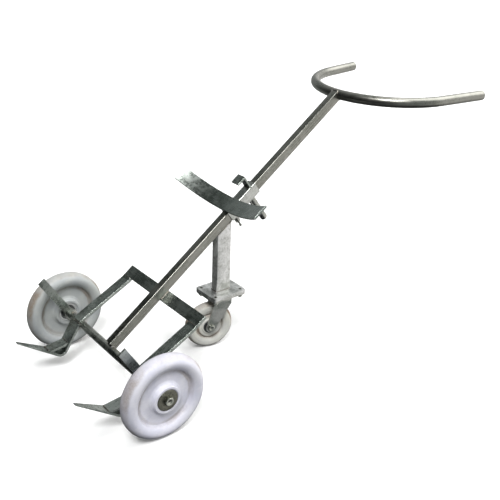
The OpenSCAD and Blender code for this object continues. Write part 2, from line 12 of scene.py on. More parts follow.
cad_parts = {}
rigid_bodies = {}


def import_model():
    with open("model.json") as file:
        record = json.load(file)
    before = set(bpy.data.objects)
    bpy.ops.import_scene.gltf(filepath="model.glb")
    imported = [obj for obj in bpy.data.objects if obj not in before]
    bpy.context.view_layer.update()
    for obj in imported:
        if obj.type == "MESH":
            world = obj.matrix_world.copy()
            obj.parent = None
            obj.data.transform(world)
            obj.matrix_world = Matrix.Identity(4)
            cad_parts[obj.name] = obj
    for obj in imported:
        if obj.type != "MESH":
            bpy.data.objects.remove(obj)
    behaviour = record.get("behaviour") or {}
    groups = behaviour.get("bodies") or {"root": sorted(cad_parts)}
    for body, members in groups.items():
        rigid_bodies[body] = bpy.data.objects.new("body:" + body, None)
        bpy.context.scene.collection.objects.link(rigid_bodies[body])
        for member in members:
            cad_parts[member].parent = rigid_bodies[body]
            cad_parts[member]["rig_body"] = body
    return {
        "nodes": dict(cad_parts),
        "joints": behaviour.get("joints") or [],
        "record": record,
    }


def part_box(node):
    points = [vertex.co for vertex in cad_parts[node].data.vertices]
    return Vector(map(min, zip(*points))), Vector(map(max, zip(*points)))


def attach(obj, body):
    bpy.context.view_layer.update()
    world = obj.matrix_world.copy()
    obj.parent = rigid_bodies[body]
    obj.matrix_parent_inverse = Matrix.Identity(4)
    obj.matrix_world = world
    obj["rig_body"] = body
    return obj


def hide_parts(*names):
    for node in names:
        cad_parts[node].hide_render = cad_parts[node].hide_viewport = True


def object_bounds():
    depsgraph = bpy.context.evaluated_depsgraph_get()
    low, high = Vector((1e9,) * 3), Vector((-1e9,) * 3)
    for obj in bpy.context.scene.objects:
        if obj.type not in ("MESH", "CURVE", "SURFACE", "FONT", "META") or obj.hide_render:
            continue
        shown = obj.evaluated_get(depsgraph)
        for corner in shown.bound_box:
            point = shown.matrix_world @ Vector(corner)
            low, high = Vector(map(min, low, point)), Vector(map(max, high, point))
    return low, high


bl_info = {
    "name": "Drum Dolly",
    "version": (1, 0, 0),
    "blender": (4, 5, 0),
    "location": "3D View > Sidebar > Dolly",
    "description": "Builds the surfaces, welds, finishes and studio of a tilted drum dolly",
    "category": "Object",
}

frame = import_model()
CAD_BOX = [list(corner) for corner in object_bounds()]
JOINTS = {j["name"]: j for j in frame["joints"]}
MOUNTS = {m["name"]: m for m in frame["record"]["mounts"]}
NODES = frame["nodes"]
SLOT_OF = {part["node"]: part["material_slot"] for part in frame["record"]["subparts"]}

X = np.array([1.0, 0.0, 0.0])
Y = np.array([0.0, 1.0, 0.0])
Z = np.array([0.0, 0.0, 1.0])
ALONG = np.array(JOINTS["carriage_slide"]["axis"])          # up the spine
FRONT = np.array([0.0, -ALONG[2], ALONG[1]])                # out of the spine's front
AXLE = np.array(JOINTS["right_wheel_spin"]["pos_m"]) * (Y + Z)
SPINE_TILT = math.atan2(ALONG[2], ALONG[1])
MM = 0.001
TURN = 2 * math.pi
HANDLE_R = MOUNTS["right_grip"]["dims"]["r_mm"] * MM
TUBE_WALL = 2 * MM


# ---- Settings ----

class DollyFinish(bpy.types.PropertyGroup):
    """Colours and wear of the metals and the nylon"""
    steel: bpy.props.FloatVectorProperty(
        name="Steel", description="Brushed stainless steel of the tubes", subtype="COLOR",
        size=3, default=(0.33, 0.322, 0.297), min=0, max=1)
    bar: bpy.props.FloatVectorProperty(
        name="Flat bar", description="Duller steel of the flat bars", subtype="COLOR",
        size=3, default=(0.40, 0.425, 0.405), min=0, max=1)
    plate: bpy.props.FloatVectorProperty(
        name="Plate", description="Pickled steel of the post and its plate", subtype="COLOR",
        size=3, default=(0.80, 0.81, 0.78), min=0, max=1)
    weld: bpy.props.FloatVectorProperty(
        name="Weld", description="Weld metal", subtype="COLOR",
        size=3, default=(0.33, 0.32, 0.30), min=0, max=1)
    nylon: bpy.props.FloatVectorProperty(
        name="Nylon", description="White nylon of the main wheels", subtype="COLOR",
        size=3, default=(0.74, 0.735, 0.80), min=0, max=1)
    # Painted shade: a darker, greyer copy of the nylon for the wheel turned from the light.
    far_nylon: bpy.props.FloatVectorProperty(
        name="Far nylon", description="Greyer nylon of the left main wheel", subtype="COLOR",
        size=3, default=(0.50, 0.52, 0.505), min=0, max=1)
    caster: bpy.props.FloatVectorProperty(
        name="Caster nylon", description="Cream nylon of the caster wheel", subtype="COLOR",
        size=3, default=(0.76, 0.75, 0.68), min=0, max=1)
    # Scales the soiling in the recesses and the painted shade on the treads.
    grime: bpy.props.FloatProperty(
        name="Grime", description="Share of dirt in the wheels' recesses", subtype="FACTOR",
        default=0.55, min=0, max=1)
    # Brightness of the edges: partly real rubbing, partly a painted highlight.
    wear: bpy.props.FloatProperty(
        name="Edge wear", description="How bright the rubbed edges are", subtype="FACTOR",
        default=0.36, min=0, max=1)


class DollySizes(bpy.types.PropertyGroup):
    """Sizes of what the visual pieces add to the frame"""
    tube_corner: bpy.props.FloatProperty(
        name="Tube corner", description="Outer corner radius of the spine and the post",
        unit="LENGTH", default=2.2 * MM, min=0.5 * MM, max=3 * MM)
    bar_edge: bpy.props.FloatProperty(
        name="Bar edge", description="Rounding of the flat bars' edges",
        unit="LENGTH", default=0.7 * MM, min=0.1 * MM, max=1.5 * MM)
    bead: bpy.props.FloatProperty(
        name="Weld bead", description="Radius of a weld bead",
        unit="LENGTH", default=2.0 * MM, min=1 * MM, max=4 * MM)
    ripple: bpy.props.FloatProperty(
        name="Weld ripple", description="Distance from one ripple of a bead to the next",
        unit="LENGTH", default=1.7 * MM, min=1 * MM, max=4 * MM)
    hub_recess: bpy.props.FloatProperty(
        name="Hub recess", description="Depth of the round recess in a main wheel's hub",
        unit="LENGTH", default=3 * MM, min=1 * MM, max=4 * MM)


class DollyStudio(bpy.types.PropertyGroup):
    """Lights, floor and camera"""
    key: bpy.props.FloatProperty(
        name="Key", description="Strength of the soft key light", default=2.6, min=0, max=10)
    key_size: bpy.props.FloatProperty(
        name="Key size", description="Angle that the key light fills", unit="ROTATION",
        default=math.radians(20), min=0.01, max=math.radians(90))
    room: bpy.props.FloatProperty(
        name="Room", description="Strength of the room's bright side", default=0.95, min=0, max=5)
    floor: bpy.props.FloatVectorProperty(
        name="Floor", description="Colour of the floor", subtype="COLOR",
        size=3, default=(0.93, 0.93, 0.93), min=0, max=1)
    lens: bpy.props.FloatProperty(
        name="Lens", description="Focal length in millimetres", default=52.99, min=20, max=120)


GROUPS = {"dolly_finish": DollyFinish, "dolly_sizes": DollySizes, "dolly_studio": DollyStudio}


def finish_set():
    """The add-on's finish settings."""
    return bpy.context.scene.dolly_finish


def size_set():
    """The add-on's size settings."""
    return bpy.context.scene.dolly_sizes


# ---- Measuring the frame ----

def points_of(node):
    """A CAD node's vertices as an array."""
    mesh = NODES[node].data
    flat = np.empty(len(mesh.vertices) * 3)
    mesh.vertices.foreach_get("co", flat)
    return flat.reshape(-1, 3)


def extent(node, origin, axes):
    """The lowest and highest distance of a node's points from an origin, along each axis."""
    local = (points_of(node) - origin) @ np.array(axes).T
    return local.min(0), local.max(0)


def on_spine(node):
    """A node's extent across the dolly, up the spine and out of the spine's front."""
    return extent(node, AXLE, (X, ALONG, FRONT))


def spine_point(x, s, n):
    """Points at x across the dolly, s up the spine and n out of its front: origin + x X + s S + n N."""
    x, s, n = np.broadcast_arrays(x, s, n)
    return AXLE + x[..., None] * X + s[..., None] * ALONG + n[..., None] * FRONT


def lengths(points):
    """Distance run along a row of points, starting at nothing."""
    steps = np.linalg.norm(np.diff(points, axis=0), axis=1)
    return np.concatenate([[0.0], np.cumsum(steps)])


AXLE_R = np.ptp(points_of("axle_shaft")[:, 2]) / 2
TOE_ANGLE = math.radians(57)                                # of the toe's leg below the level
TOE_DOWN = np.array([0.0, -math.cos(TOE_ANGLE), -math.sin(TOE_ANGLE)])
TOE_OUT = np.array([0.0, TOE_DOWN[2], -TOE_DOWN[1]])
BRACE_ENDS = ((53 * MM, 0.3 * MM), (84.4 * MM, 39.5 * MM))  # down the toe's leg, and out of it


# ---- Surfaces ----

def patch(points, u=None, v=None, wrap_u=False, wrap_v=True):
    """A grid of points joined by quads, row to row and column to column, each wrapped back to
    the first where asked. The texture place is (length along the rows, length round a row).
    The faces are turned over if the volume they enclose comes out negative."""
    rows, cols = points.shape[:2]
    if u is None:
        closed = np.concatenate([points, points[:1]]) if wrap_u else points
        u = lengths(closed[:, cols // 4])
    if v is None:
        widest = points[np.argmax(np.ptp(points, axis=1).sum(1))]
        v = lengths(np.concatenate([widest, widest[:1]]) if wrap_v else widest)
    i, j = np.meshgrid(np.arange(rows - 1 + wrap_u), np.arange(cols - 1 + wrap_v), indexing="ij")
    i, j = i.ravel(), j.ravel()
    corners = [(i, j), (i + 1, j), (i + 1, j + 1), (i, j + 1)]
    faces = np.stack([(a % rows) * cols + b % cols for a, b in corners], axis=1)
    uvs = np.stack([np.stack([u[a], v[b]], axis=1) for a, b in corners], axis=1)
    verts = points.reshape(-1, 3)
    q = verts[faces]
    volume = (np.cross(q[:, 0], q[:, 1]) * q[:, 2]).sum()
    volume += (np.cross(q[:, 0], q[:, 2]) * q[:, 3]).sum()
    if volume < 0:
        faces, uvs = faces[:, ::-1], uvs[:, ::-1]
    return verts, faces, uvs


def build(name, patches, body, material, nodes=(), sharp=34):
    """Joins patches into one object that rides on a body and stands for the named CAD nodes."""
    start, verts, faces, uvs = 0, [], [], []
    for v, f, t in patches:
        verts.append(v)
        faces.append(f + start)
        uvs.append(t)
        start += len(v)
    mesh = bpy.data.meshes.new(name)
    mesh.from_pydata(np.concatenate(verts).tolist(), [], np.concatenate(faces).tolist())
    layer = mesh.uv_layers.new(name="UVMap")
    layer.data.foreach_set("uv", np.concatenate(uvs).reshape(-1))
    shape = bmesh.new()
    shape.from_mesh(mesh)
    bmesh.ops.remove_doubles(shape, verts=shape.verts, dist=1e-7)
    bmesh.ops.dissolve_degenerate(shape, edges=shape.edges, dist=1e-7)
    shape.to_mesh(mesh)
    shape.free()
    mesh.shade_smooth()
    mesh.set_sharp_from_angle(angle=math.radians(sharp))
    return place(name, mesh, body, material, nodes)


def place(name, mesh, body, material, nodes=()):
    """Puts a mesh in the scene as a piece with its body, finish and the nodes it stands for."""
    piece = bpy.data.objects.new(name, mesh)
    bpy.context.scene.collection.objects.link(piece)
    mesh.materials.clear()
    mesh.materials.append(material)
    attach(piece, body)
    if nodes:
        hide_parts(*nodes)
    return piece


def circle(radius, count):
    """Points round a circle as (x, y) = r (cos t, sin t)."""
    t = np.arange(count) * TURN / count
    return np.stack([radius * np.cos(t), radius * np.sin(t)], axis=1)


def rounded_box(width, depth, radius, steps=6):
    """A rectangle's outline with quarter circles at its corners: each corner's centre plus
    r (cos t, sin t), with t running through its own quarter turn."""
    t = np.linspace(0, math.pi / 2, steps + 1)[None] + (np.arange(4) * math.pi / 2)[:, None]
    centre = np.array([[1, 1], [-1, 1], [-1, -1], [1, -1]]) * (width / 2 - radius, depth / 2 - radius)
    arc = radius * np.stack([np.cos(t), np.sin(t)], axis=2)
    return (centre[:, None] + arc).reshape(-1, 2)


def filleted(corners, steps=5):
    """A polyline of (radius, place, fillet), where each corner becomes an arc that touches both of
    its sides: the arc's points are a blend of the two tangent points and the corner, weighted
    (1-t)^2, 2t(1-t) and t^2, which is a parabola close to the circle."""
    c = np.array([p[:2] for p in corners], float)
    r = np.array([p[2] for p in corners], float)[:, None]
    before, after = np.roll(c, 1, axis=0) - c, np.roll(c, -1, axis=0) - c
    before /= np.linalg.norm(before, axis=1, keepdims=True)
    after /= np.linalg.norm(after, axis=1, keepdims=True)
    half = np.arccos(np.clip((before * after).sum(1, keepdims=True), -1, 1)) / 2
    reach = r / np.maximum(np.tan(half), 0.05)
    t = np.linspace(0, 1, steps + 1)[None, :, None]
    first, last = (c + before * reach)[:, None], (c + after * reach)[:, None]
    return ((1 - t) ** 2 * first + 2 * t * (1 - t) * c[:, None] + t ** 2 * last).reshape(-1, 2)


def ellipse_arc(centre, radii, start, end, count):
    """Corners on part of an ellipse, each with no fillet, between two angles in degrees."""
    t = np.radians(np.linspace(start, end, count))
    return [(centre[0] + radii[0] * a, centre[1] + radii[1] * b, 0.0)
            for a, b in zip(np.cos(t), np.sin(t))]


def ring_about(axis, t):
    """An axis at unit length, and the directions square to it at the angles t: cos t B + sin t C,
    with B and C square to the axis and to each other."""
    axis = np.array(axis, float) / np.linalg.norm(axis)
    b = np.cross(Z if abs(axis[2]) < 0.9 else Y, axis)
    b /= np.linalg.norm(b)
    return axis, np.cos(t)[:, None] * b + np.sin(t)[:, None] * np.cross(axis, b)


def round_the(count):
    """Angles spaced evenly round a full turn, without the last."""
    return np.arange(count) * TURN / count


def revolved(profile, centre, axis, around=128):
    """A closed profile of (radius, place along the axis) turned round an axis: centre + place A +
    radius R, with R the direction square to the axis A at each angle."""
    axis, ring = ring_about(axis, round_the(around))
    p = np.array(profile)
    points = np.array(centre) + p[:, 1, None, None] * axis + p[:, 0, None, None] * ring[None]
    u = lengths(np.concatenate([p, p[:1]]))
    v = np.arange(around + 1) * TURN / around * p[:, 0].max()
    return patch(points, u, v, wrap_u=True)


def swept(path, normal, outline, ends=None):
    """An outline of (across, out) carried along a path: path + across (T x N) + out N, where T is
    the path's direction and N the given normal. The ends are closed by rows shrunk to the path."""
    tangent = np.gradient(path, axis=0)
    tangent /= np.linalg.norm(tangent, axis=1, keepdims=True)
    normal = np.broadcast_to(normal, path.shape)
    across = np.cross(tangent, normal)
    across /= np.linalg.norm(across, axis=1, keepdims=True)
    out = np.cross(across, tangent)
    rows = path[:, None] + outline[None, :, :1] * across[:, None] + outline[None, :, 1:] * out[:, None]
    u = lengths(path)
    first = np.broadcast_to(path[0], rows[0].shape)[None]
    last = np.broadcast_to(path[-1], rows[0].shape)[None]
    rows = np.concatenate([first, rows, last])
    u = np.concatenate([[u[0]], u, [u[-1]]])
    v = lengths(np.concatenate([outline, outline[:1]]))
    return patch(rows, u, v)


def hexagon_head(centre, axis, across_flats, height, turn=0.0, around=96):
    """A bolt head with its corners turned off: the side stands at r = (f/2) / cos(a), a being the
    angle from the middle of the nearest flat, and the top drops by (r - c) tan 30 past the
    chamfer's circle of radius c. A shallow round dish fills the middle of the top."""
    t = round_the(around)
    off_flat = np.mod(t + math.pi / 6, math.pi / 3) - math.pi / 6
    edge = across_flats / 2 / np.cos(off_flat)
    chamfer = across_flats / 2 * 0.95
    drop = (edge - chamfer) * math.tan(math.pi / 6)
    soft = 0.25 * MM
    inner, none = np.full(around, chamfer), np.zeros(around)
    radii = np.stack([none, inner * 0.45, inner * 0.5, inner * 0.93, inner, edge - soft, edge,
                      edge, edge - soft, none])
    tops = np.stack([none + height - soft, none + height - soft, none + height, none + height,
                     none + height - soft / 5, height - drop, height - drop - soft, none + soft,
                     none, none])
    axis, ring = ring_about(axis, t + turn)
    points = np.array(centre) + tops[..., None] * axis + radii[..., None] * ring[None]
    u = np.arange(len(radii)) * 2 * MM
    return patch(points, u, np.arange(around + 1) * TURN / around * chamfer)


def eased(node, width, material, steps=2, angle=30):
    """A copy of a CAD node with its doubles merged, its flat faces joined and its edges rounded."""
    mesh = NODES[node].data.copy()
    shape = bmesh.new()
    shape.from_mesh(mesh)
    bmesh.ops.remove_doubles(shape, verts=shape.verts, dist=2e-6)
    bmesh.ops.dissolve_limit(shape, angle_limit=math.radians(0.1), verts=shape.verts, edges=shape.edges)
    shape.to_mesh(mesh)
    shape.free()
    mesh.shade_smooth()
    mesh.set_sharp_from_angle(angle=math.radians(angle))
    piece = place(node + "_piece", mesh, NODES[node]["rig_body"], material, [node])
    bevel = piece.modifiers.new("Edges", "BEVEL")
    bevel.width = width
    bevel.segments = steps
    bevel.limit_method = "ANGLE"
    bevel.angle_limit = math.radians(angle)
    bevel.harden_normals = True
    return piece


# ---- Weld beads ----

def bead(path, radius, closed=False, up=Z, seed=0.0):
    """A rippled tube along a path: at distance d and angle a round it, the radius is
    r (0.88 + 0.14 |sin(pi (d / p + 0.22 cos a))|), with a slow wander of a few percent, and it
    runs down to nothing over the last bead's width at an open end."""
    path = np.asarray(path, float)
    if closed:
        path = np.concatenate([path, path[:1]])
    run = lengths(path)
    count = max(int(run[-1] / (0.3 * size_set().ripple)), 8)
    d = np.linspace(0, run[-1], count + 1)
    line = np.stack([np.interp(d, run, path[:, k]) for k in range(3)], axis=1)
    if closed:
        d, line = d[:-1], line[:-1]
        tangent = np.roll(line, -1, axis=0) - np.roll(line, 1, axis=0)
    else:
        tangent = np.gradient(line, axis=0)
    tangent /= np.linalg.norm(tangent, axis=1, keepdims=True)
    side = np.cross(tangent, np.broadcast_to(up, line.shape))
    side /= np.maximum(np.linalg.norm(side, axis=1, keepdims=True), 1e-9)
    over = np.cross(side, tangent)
    a = np.arange(10) * TURN / 10
    phase = d[:, None] / size_set().ripple + 0.22 * np.cos(a)[None] + seed
    size = radius * (0.88 + 0.14 * np.abs(np.sin(math.pi * phase)))
    size *= (1 + 0.05 * np.sin(d * 310 + seed * 7) + 0.03 * np.sin(d * 730 + seed * 3))[:, None]
    if not closed:
        gap = np.minimum(d, d[-1] - d) / (1.2 * radius)
        size *= np.sqrt(np.clip(1 - (1 - np.clip(gap, 0, 1)) ** 2, 0, 1))[:, None]
    rows = line[:, None] + size[..., None] * (np.cos(a)[None, :, None] * side[:, None]
                                               + np.sin(a)[None, :, None] * over[:, None])
    u = np.concatenate([d, d[-1:] + d[1:2]]) if closed else d
    return patch(rows, u, np.arange(11) * TURN / 10 * radius, wrap_u=closed)


# ---- Node trees ----

def add(tree, kind, links=None, **options):
    """Adds a node: links maps an input's name or number to a socket or a constant, and the options
    are the node's own settings."""
    node = tree.nodes.new(kind)
    for key, value in options.items():
        setattr(node, key, value)
    for key, value in (links or {}).items():
        socket = node.inputs[key]
        if isinstance(value, bpy.types.NodeSocket):
            tree.links.new(value, socket)
        else:
            socket.default_value = value
    return node


def maths(tree, operation, a, b=0.0, clamp=False):
    """A maths node's result, from sockets or numbers."""
    return add(tree, "ShaderNodeMath", {0: a, 1: b}, operation=operation, use_clamp=clamp).outputs[0]


def times(tree, a, b):
    """The product of a and b."""
    return maths(tree, "MULTIPLY", a, b)


def plus(tree, a, b, clamp=False):
    """The sum of a and b."""
    return maths(tree, "ADD", a, b, clamp)


def vector_maths(tree, operation, a, b):
    """A vector maths node's outputs: the vector first, the number under Value."""
    return add(tree, "ShaderNodeVectorMath", {0: a, 1: b}, operation=operation).outputs


def radius_of(tree, vector):
    """Distance from the X axis: the root of y squared plus z squared."""
    parts = add(tree, "ShaderNodeSeparateXYZ", {0: vector}).outputs
    square = plus(tree, times(tree, parts[1], parts[1]), times(tree, parts[2], parts[2]))
    return maths(tree, "SQRT", square)


def bumped(tree, shader, height, distance):
    """Leads a height into the shader's normal."""
    bump = add(tree, "ShaderNodeBump", {"Height": height, "Distance": distance, "Strength": 0.6})
    tree.links.new(bump.outputs[0], shader.inputs["Normal"])


def ranged(tree, value, low, high, out_low=0.0, out_high=1.0):
    """A value taken smoothly from one range to another, and held beyond its ends."""
    return add(tree, "ShaderNodeMapRange", {0: value, 1: low, 2: high, 3: out_low, 4: out_high},
               interpolation_type="SMOOTHSTEP").outputs[0]


def mixed(tree, factor, a, b):
    """A colour mix of a and b, each a socket or three numbers."""
    a, b = (c if isinstance(c, bpy.types.NodeSocket) else (*c[:3], 1.0) for c in (a, b))
    return add(tree, "ShaderNodeMix", {0: factor, 6: a, 7: b}, data_type="RGBA").outputs[2]


def noise(tree, vector, scale, detail=3.0, rough=0.5, distortion=0.0):
    """A noise texture's value."""
    return add(tree, "ShaderNodeTexNoise", {"Vector": vector, "Scale": scale, "Detail": detail,
                                            "Roughness": rough, "Distortion": distortion}).outputs[0]


def effect(name, inputs, outputs, draw):
    """A shader node group with named inputs and outputs, built once. draw(tree, inputs) returns
    its outputs by name."""
    if name in bpy.data.node_groups:
        return bpy.data.node_groups[name]
    tree = bpy.data.node_groups.new(name, "ShaderNodeTree")
    for label, (kind, value) in inputs.items():
        socket = tree.interface.new_socket(name=label, in_out="INPUT", socket_type=kind)
        if value is not None:
            socket.default_value = value
    for label, kind in outputs.items():
        tree.interface.new_socket(name=label, in_out="OUTPUT", socket_type=kind)
    entry, leave = tree.nodes.new("NodeGroupInput"), tree.nodes.new("NodeGroupOutput")
    for label, socket in draw(tree, entry.outputs).items():
        tree.links.new(socket, leave.inputs[label])
    return tree


NUMBER, VECTOR = "NodeSocketFloat", "NodeSocketVector"
SCRATCHED, RUBBED_AND_SHEEN = (0.75, 0.75, 0.73), (0.86, 0.86, 0.84)      # bare steel in scratches; worn bare steel with a painted highlight on edges


def brushing():
    """Fine streaks along the vector's Y, in three widths, with a broken tone along them."""
    def draw(tree, given):
        def stretched(across, along):
            vector = vector_maths(tree, "MULTIPLY", given["Vector"], (across, along, across))[0]
            return noise(tree, vector, 1.0, 2.0, 0.6)
        fine, mid, broad = stretched(5200.0, 60.0), stretched(1500.0, 18.0), stretched(330.0, 5.0)
        tone = plus(tree, times(tree, fine, 0.35), times(tree, mid, 0.35))
        tone = plus(tree, tone, times(tree, broad, 0.3))
        height = plus(tree, times(tree, fine, 0.6), times(tree, mid, 0.4))
        return {"Tone": ranged(tree, tone, 0.35, 0.65), "Height": height}
    return effect("Brushing", {"Vector": (VECTOR, None)}, {"Tone": NUMBER, "Height": NUMBER}, draw)


def mottling():
    """Cloudy patches with a few sharper stains, from noise at three sizes."""
    def draw(tree, given):
        vector, scale = given["Vector"], given["Scale"]
        large = noise(tree, vector, scale, 4.0, 0.55, 0.6)
        small = noise(tree, vector, times(tree, scale, 6.0), 5.0, 0.65)
        stain = noise(tree, vector, times(tree, scale, 2.3), 6.0, 0.7, 1.5)
        cloud = plus(tree, times(tree, large, 0.65), times(tree, small, 0.35))
        return {"Cloud": ranged(tree, cloud, 0.36, 0.64), "Stain": ranged(tree, stain, 0.56, 0.70)}
    return effect("Mottling", {"Vector": (VECTOR, None), "Scale": (NUMBER, 20.0)},
                  {"Cloud": NUMBER, "Stain": NUMBER}, draw)


def edge_wear_and_sheen():
    """Where a rounded-off normal leaves the true one, an edge is near: one minus their product,
    stronger in some stretches than in others. It marks worn edges and a painted highlight along them."""
    def draw(tree, given):
        soft = add(tree, "ShaderNodeBevel", {"Radius": given["Radius"]}, samples=4).outputs[0]
        true = add(tree, "ShaderNodeNewGeometry").outputs["Normal"]
        same = vector_maths(tree, "DOT_PRODUCT", soft, true)["Value"]
        near = ranged(tree, maths(tree, "SUBTRACT", 1.0, same), 0.03, 0.20)
        rub_and_sheen = ranged(tree, noise(tree, given["Vector"], 42.0, 4.0, 0.6), 0.25, 0.6, 0.35, 1.0)
        return {"Mask": times(tree, near, rub_and_sheen)}
    return effect("Edge Wear", {"Vector": (VECTOR, None), "Radius": (NUMBER, 0.0015)},
                  {"Mask": NUMBER}, draw)


def scratches():
    """Thin random lines: a band of a stretched, turned noise close to its middle value."""
    def draw(tree, given):
        lines = []
        for turn, scale in ((0.4, 45.0), (1.9, 62.0)):
            turned = add(tree, "ShaderNodeMapping", {"Vector": given["Vector"],
                                                     "Rotation": (turn, turn * 0.7, turn * 1.3),
                                                     "Scale": (1.0, 0.12, 1.0)}).outputs[0]
            wave = noise(tree, turned, scale, 2.0, 0.4, 0.3)
            off = maths(tree, "ABSOLUTE", maths(tree, "SUBTRACT", wave, 0.5))
            lines.append(ranged(tree, off, 0.0, 0.0035, 1.0, 0.0))
        broken = ranged(tree, noise(tree, given["Vector"], 30.0, 3.0), 0.48, 0.62)
        return {"Mask": times(tree, maths(tree, "MAXIMUM", lines[0], lines[1]), broken)}
    return effect("Scratches", {"Vector": (VECTOR, None)}, {"Mask": NUMBER}, draw)


def ring_dirt_and_shade():
    """Darkening between two distances from the X axis, soft at both limits and patchy round the ring;
    it is real soiling in a wheel's recess, and soiling with painted shade on its tread. The vector's
    origin is the wheel's centre."""
    def draw(tree, given):
        vector, soft = given["Vector"], given["Soft"]
        wobble = times(tree, maths(tree, "SUBTRACT", noise(tree, vector, 40.0, 5.0, 0.7), 0.5), 0.008)
        radius = plus(tree, radius_of(tree, vector), wobble)
        start = maths(tree, "SUBTRACT", given["Inner"], soft)
        up = ranged(tree, radius, start, given["Inner"])
        down = ranged(tree, radius, given["Outer"], plus(tree, given["Outer"], soft), 1.0, 0.0)
        patchy = ranged(tree, noise(tree, vector, 13.0, 4.0, 0.6), 0.35, 0.65, 0.25, 1.0)
        grain = ranged(tree, noise(tree, vector, 420.0, 3.0, 0.7), 0.3, 0.7, 0.6, 1.0)
        return {"Mask": times(tree, times(tree, up, down), times(tree, patchy, grain))}
    return effect("Ring Dirt", {"Vector": (VECTOR, None), "Inner": (NUMBER, 0.06),
                                "Outer": (NUMBER, 0.07), "Soft": (NUMBER, 0.004)}, {"Mask": NUMBER}, draw)


def grouped(tree, group, links):
    """The outputs of a group, with its inputs linked or set."""
    return add(tree, "ShaderNodeGroup", links, node_tree=group).outputs


def blank(name, metallic, **fixed):
    """A material with its Principled shader, its constants set on the shader's own sockets."""
    material = bpy.data.materials.new(name)
    material.use_nodes = True
    tree = material.node_tree
    shader = tree.nodes["Principled BSDF"]
    shader.inputs["Metallic"].default_value = metallic
    for key, value in fixed.items():
        shader.inputs[key.replace("_", " ")].default_value = value
    return material, tree, shader


def scaled(colour, share):
    """A colour times a share or three shares, kept under one."""
    return tuple(min(c * k, 1.0) for c, k in zip(colour, np.broadcast_to(share, 3).tolist()))


def metal(name, colour, rough, streak=0.5, cloud=0.5, stain=0.2, scale=22.0, flow=None,
          wear=1.0, tint=(0.80, 0.86, 0.80), bump=0.02 * MM):
    """Steel with streaks, clouds, stains, scratches, and edges brightened partly by real rubbing and
    partly as a painted highlight. The streaks run along the texture's own length, or along the
    direction that the flow rotation brings to +Y."""
    if name in bpy.data.materials:
        return bpy.data.materials[name]
    material, tree, shader = blank(name, 1.0)
    source = add(tree, "ShaderNodeTexCoord")
    place_in = source.outputs["Object"]
    turned = add(tree, "ShaderNodeMapping", {"Vector": source.outputs["UV"] if flow is None else place_in,
                                             "Rotation": flow or (0.0, 0.0, math.pi / 2)}).outputs[0]
    lines = grouped(tree, brushing(), {"Vector": turned})
    spots = grouped(tree, mottling(), {"Vector": place_in, "Scale": scale})
    rubbed_and_sheen = grouped(tree, edge_wear_and_sheen(), {"Vector": place_in, "Radius": 1.2 * MM})["Mask"]
    scars = grouped(tree, scratches(), {"Vector": place_in})["Mask"]
    dark = scaled(scaled(colour, tint), 0.62)
    tone = plus(tree, times(tree, lines["Tone"], streak), times(tree, spots["Cloud"], cloud), clamp=True)
    base = mixed(tree, tone, dark, scaled(colour, 1.28))
    base = mixed(tree, times(tree, spots["Stain"], stain), base, scaled(dark, 0.35))
    base = mixed(tree, times(tree, scars, 0.35), base, SCRATCHED)
    # Edges: worn bare steel, mixed with a painted highlight along them.
    base = mixed(tree, times(tree, rubbed_and_sheen, wear * finish_set().wear), base, RUBBED_AND_SHEEN)
    tree.links.new(base, shader.inputs["Base Color"])
    roughness = plus(tree, times(tree, lines["Tone"], 0.10), times(tree, spots["Cloud"], 0.12))
    roughness = plus(tree, roughness, rough - 0.11)
    roughness = plus(tree, roughness, times(tree, spots["Stain"], 0.15), clamp=True)
    tree.links.new(roughness, shader.inputs["Roughness"])
    relief = plus(tree, times(tree, lines["Height"], streak), times(tree, spots["Cloud"], 0.5))
    bumped(tree, shader, maths(tree, "SUBTRACT", relief, times(tree, scars, 0.6)), bump)
    return material


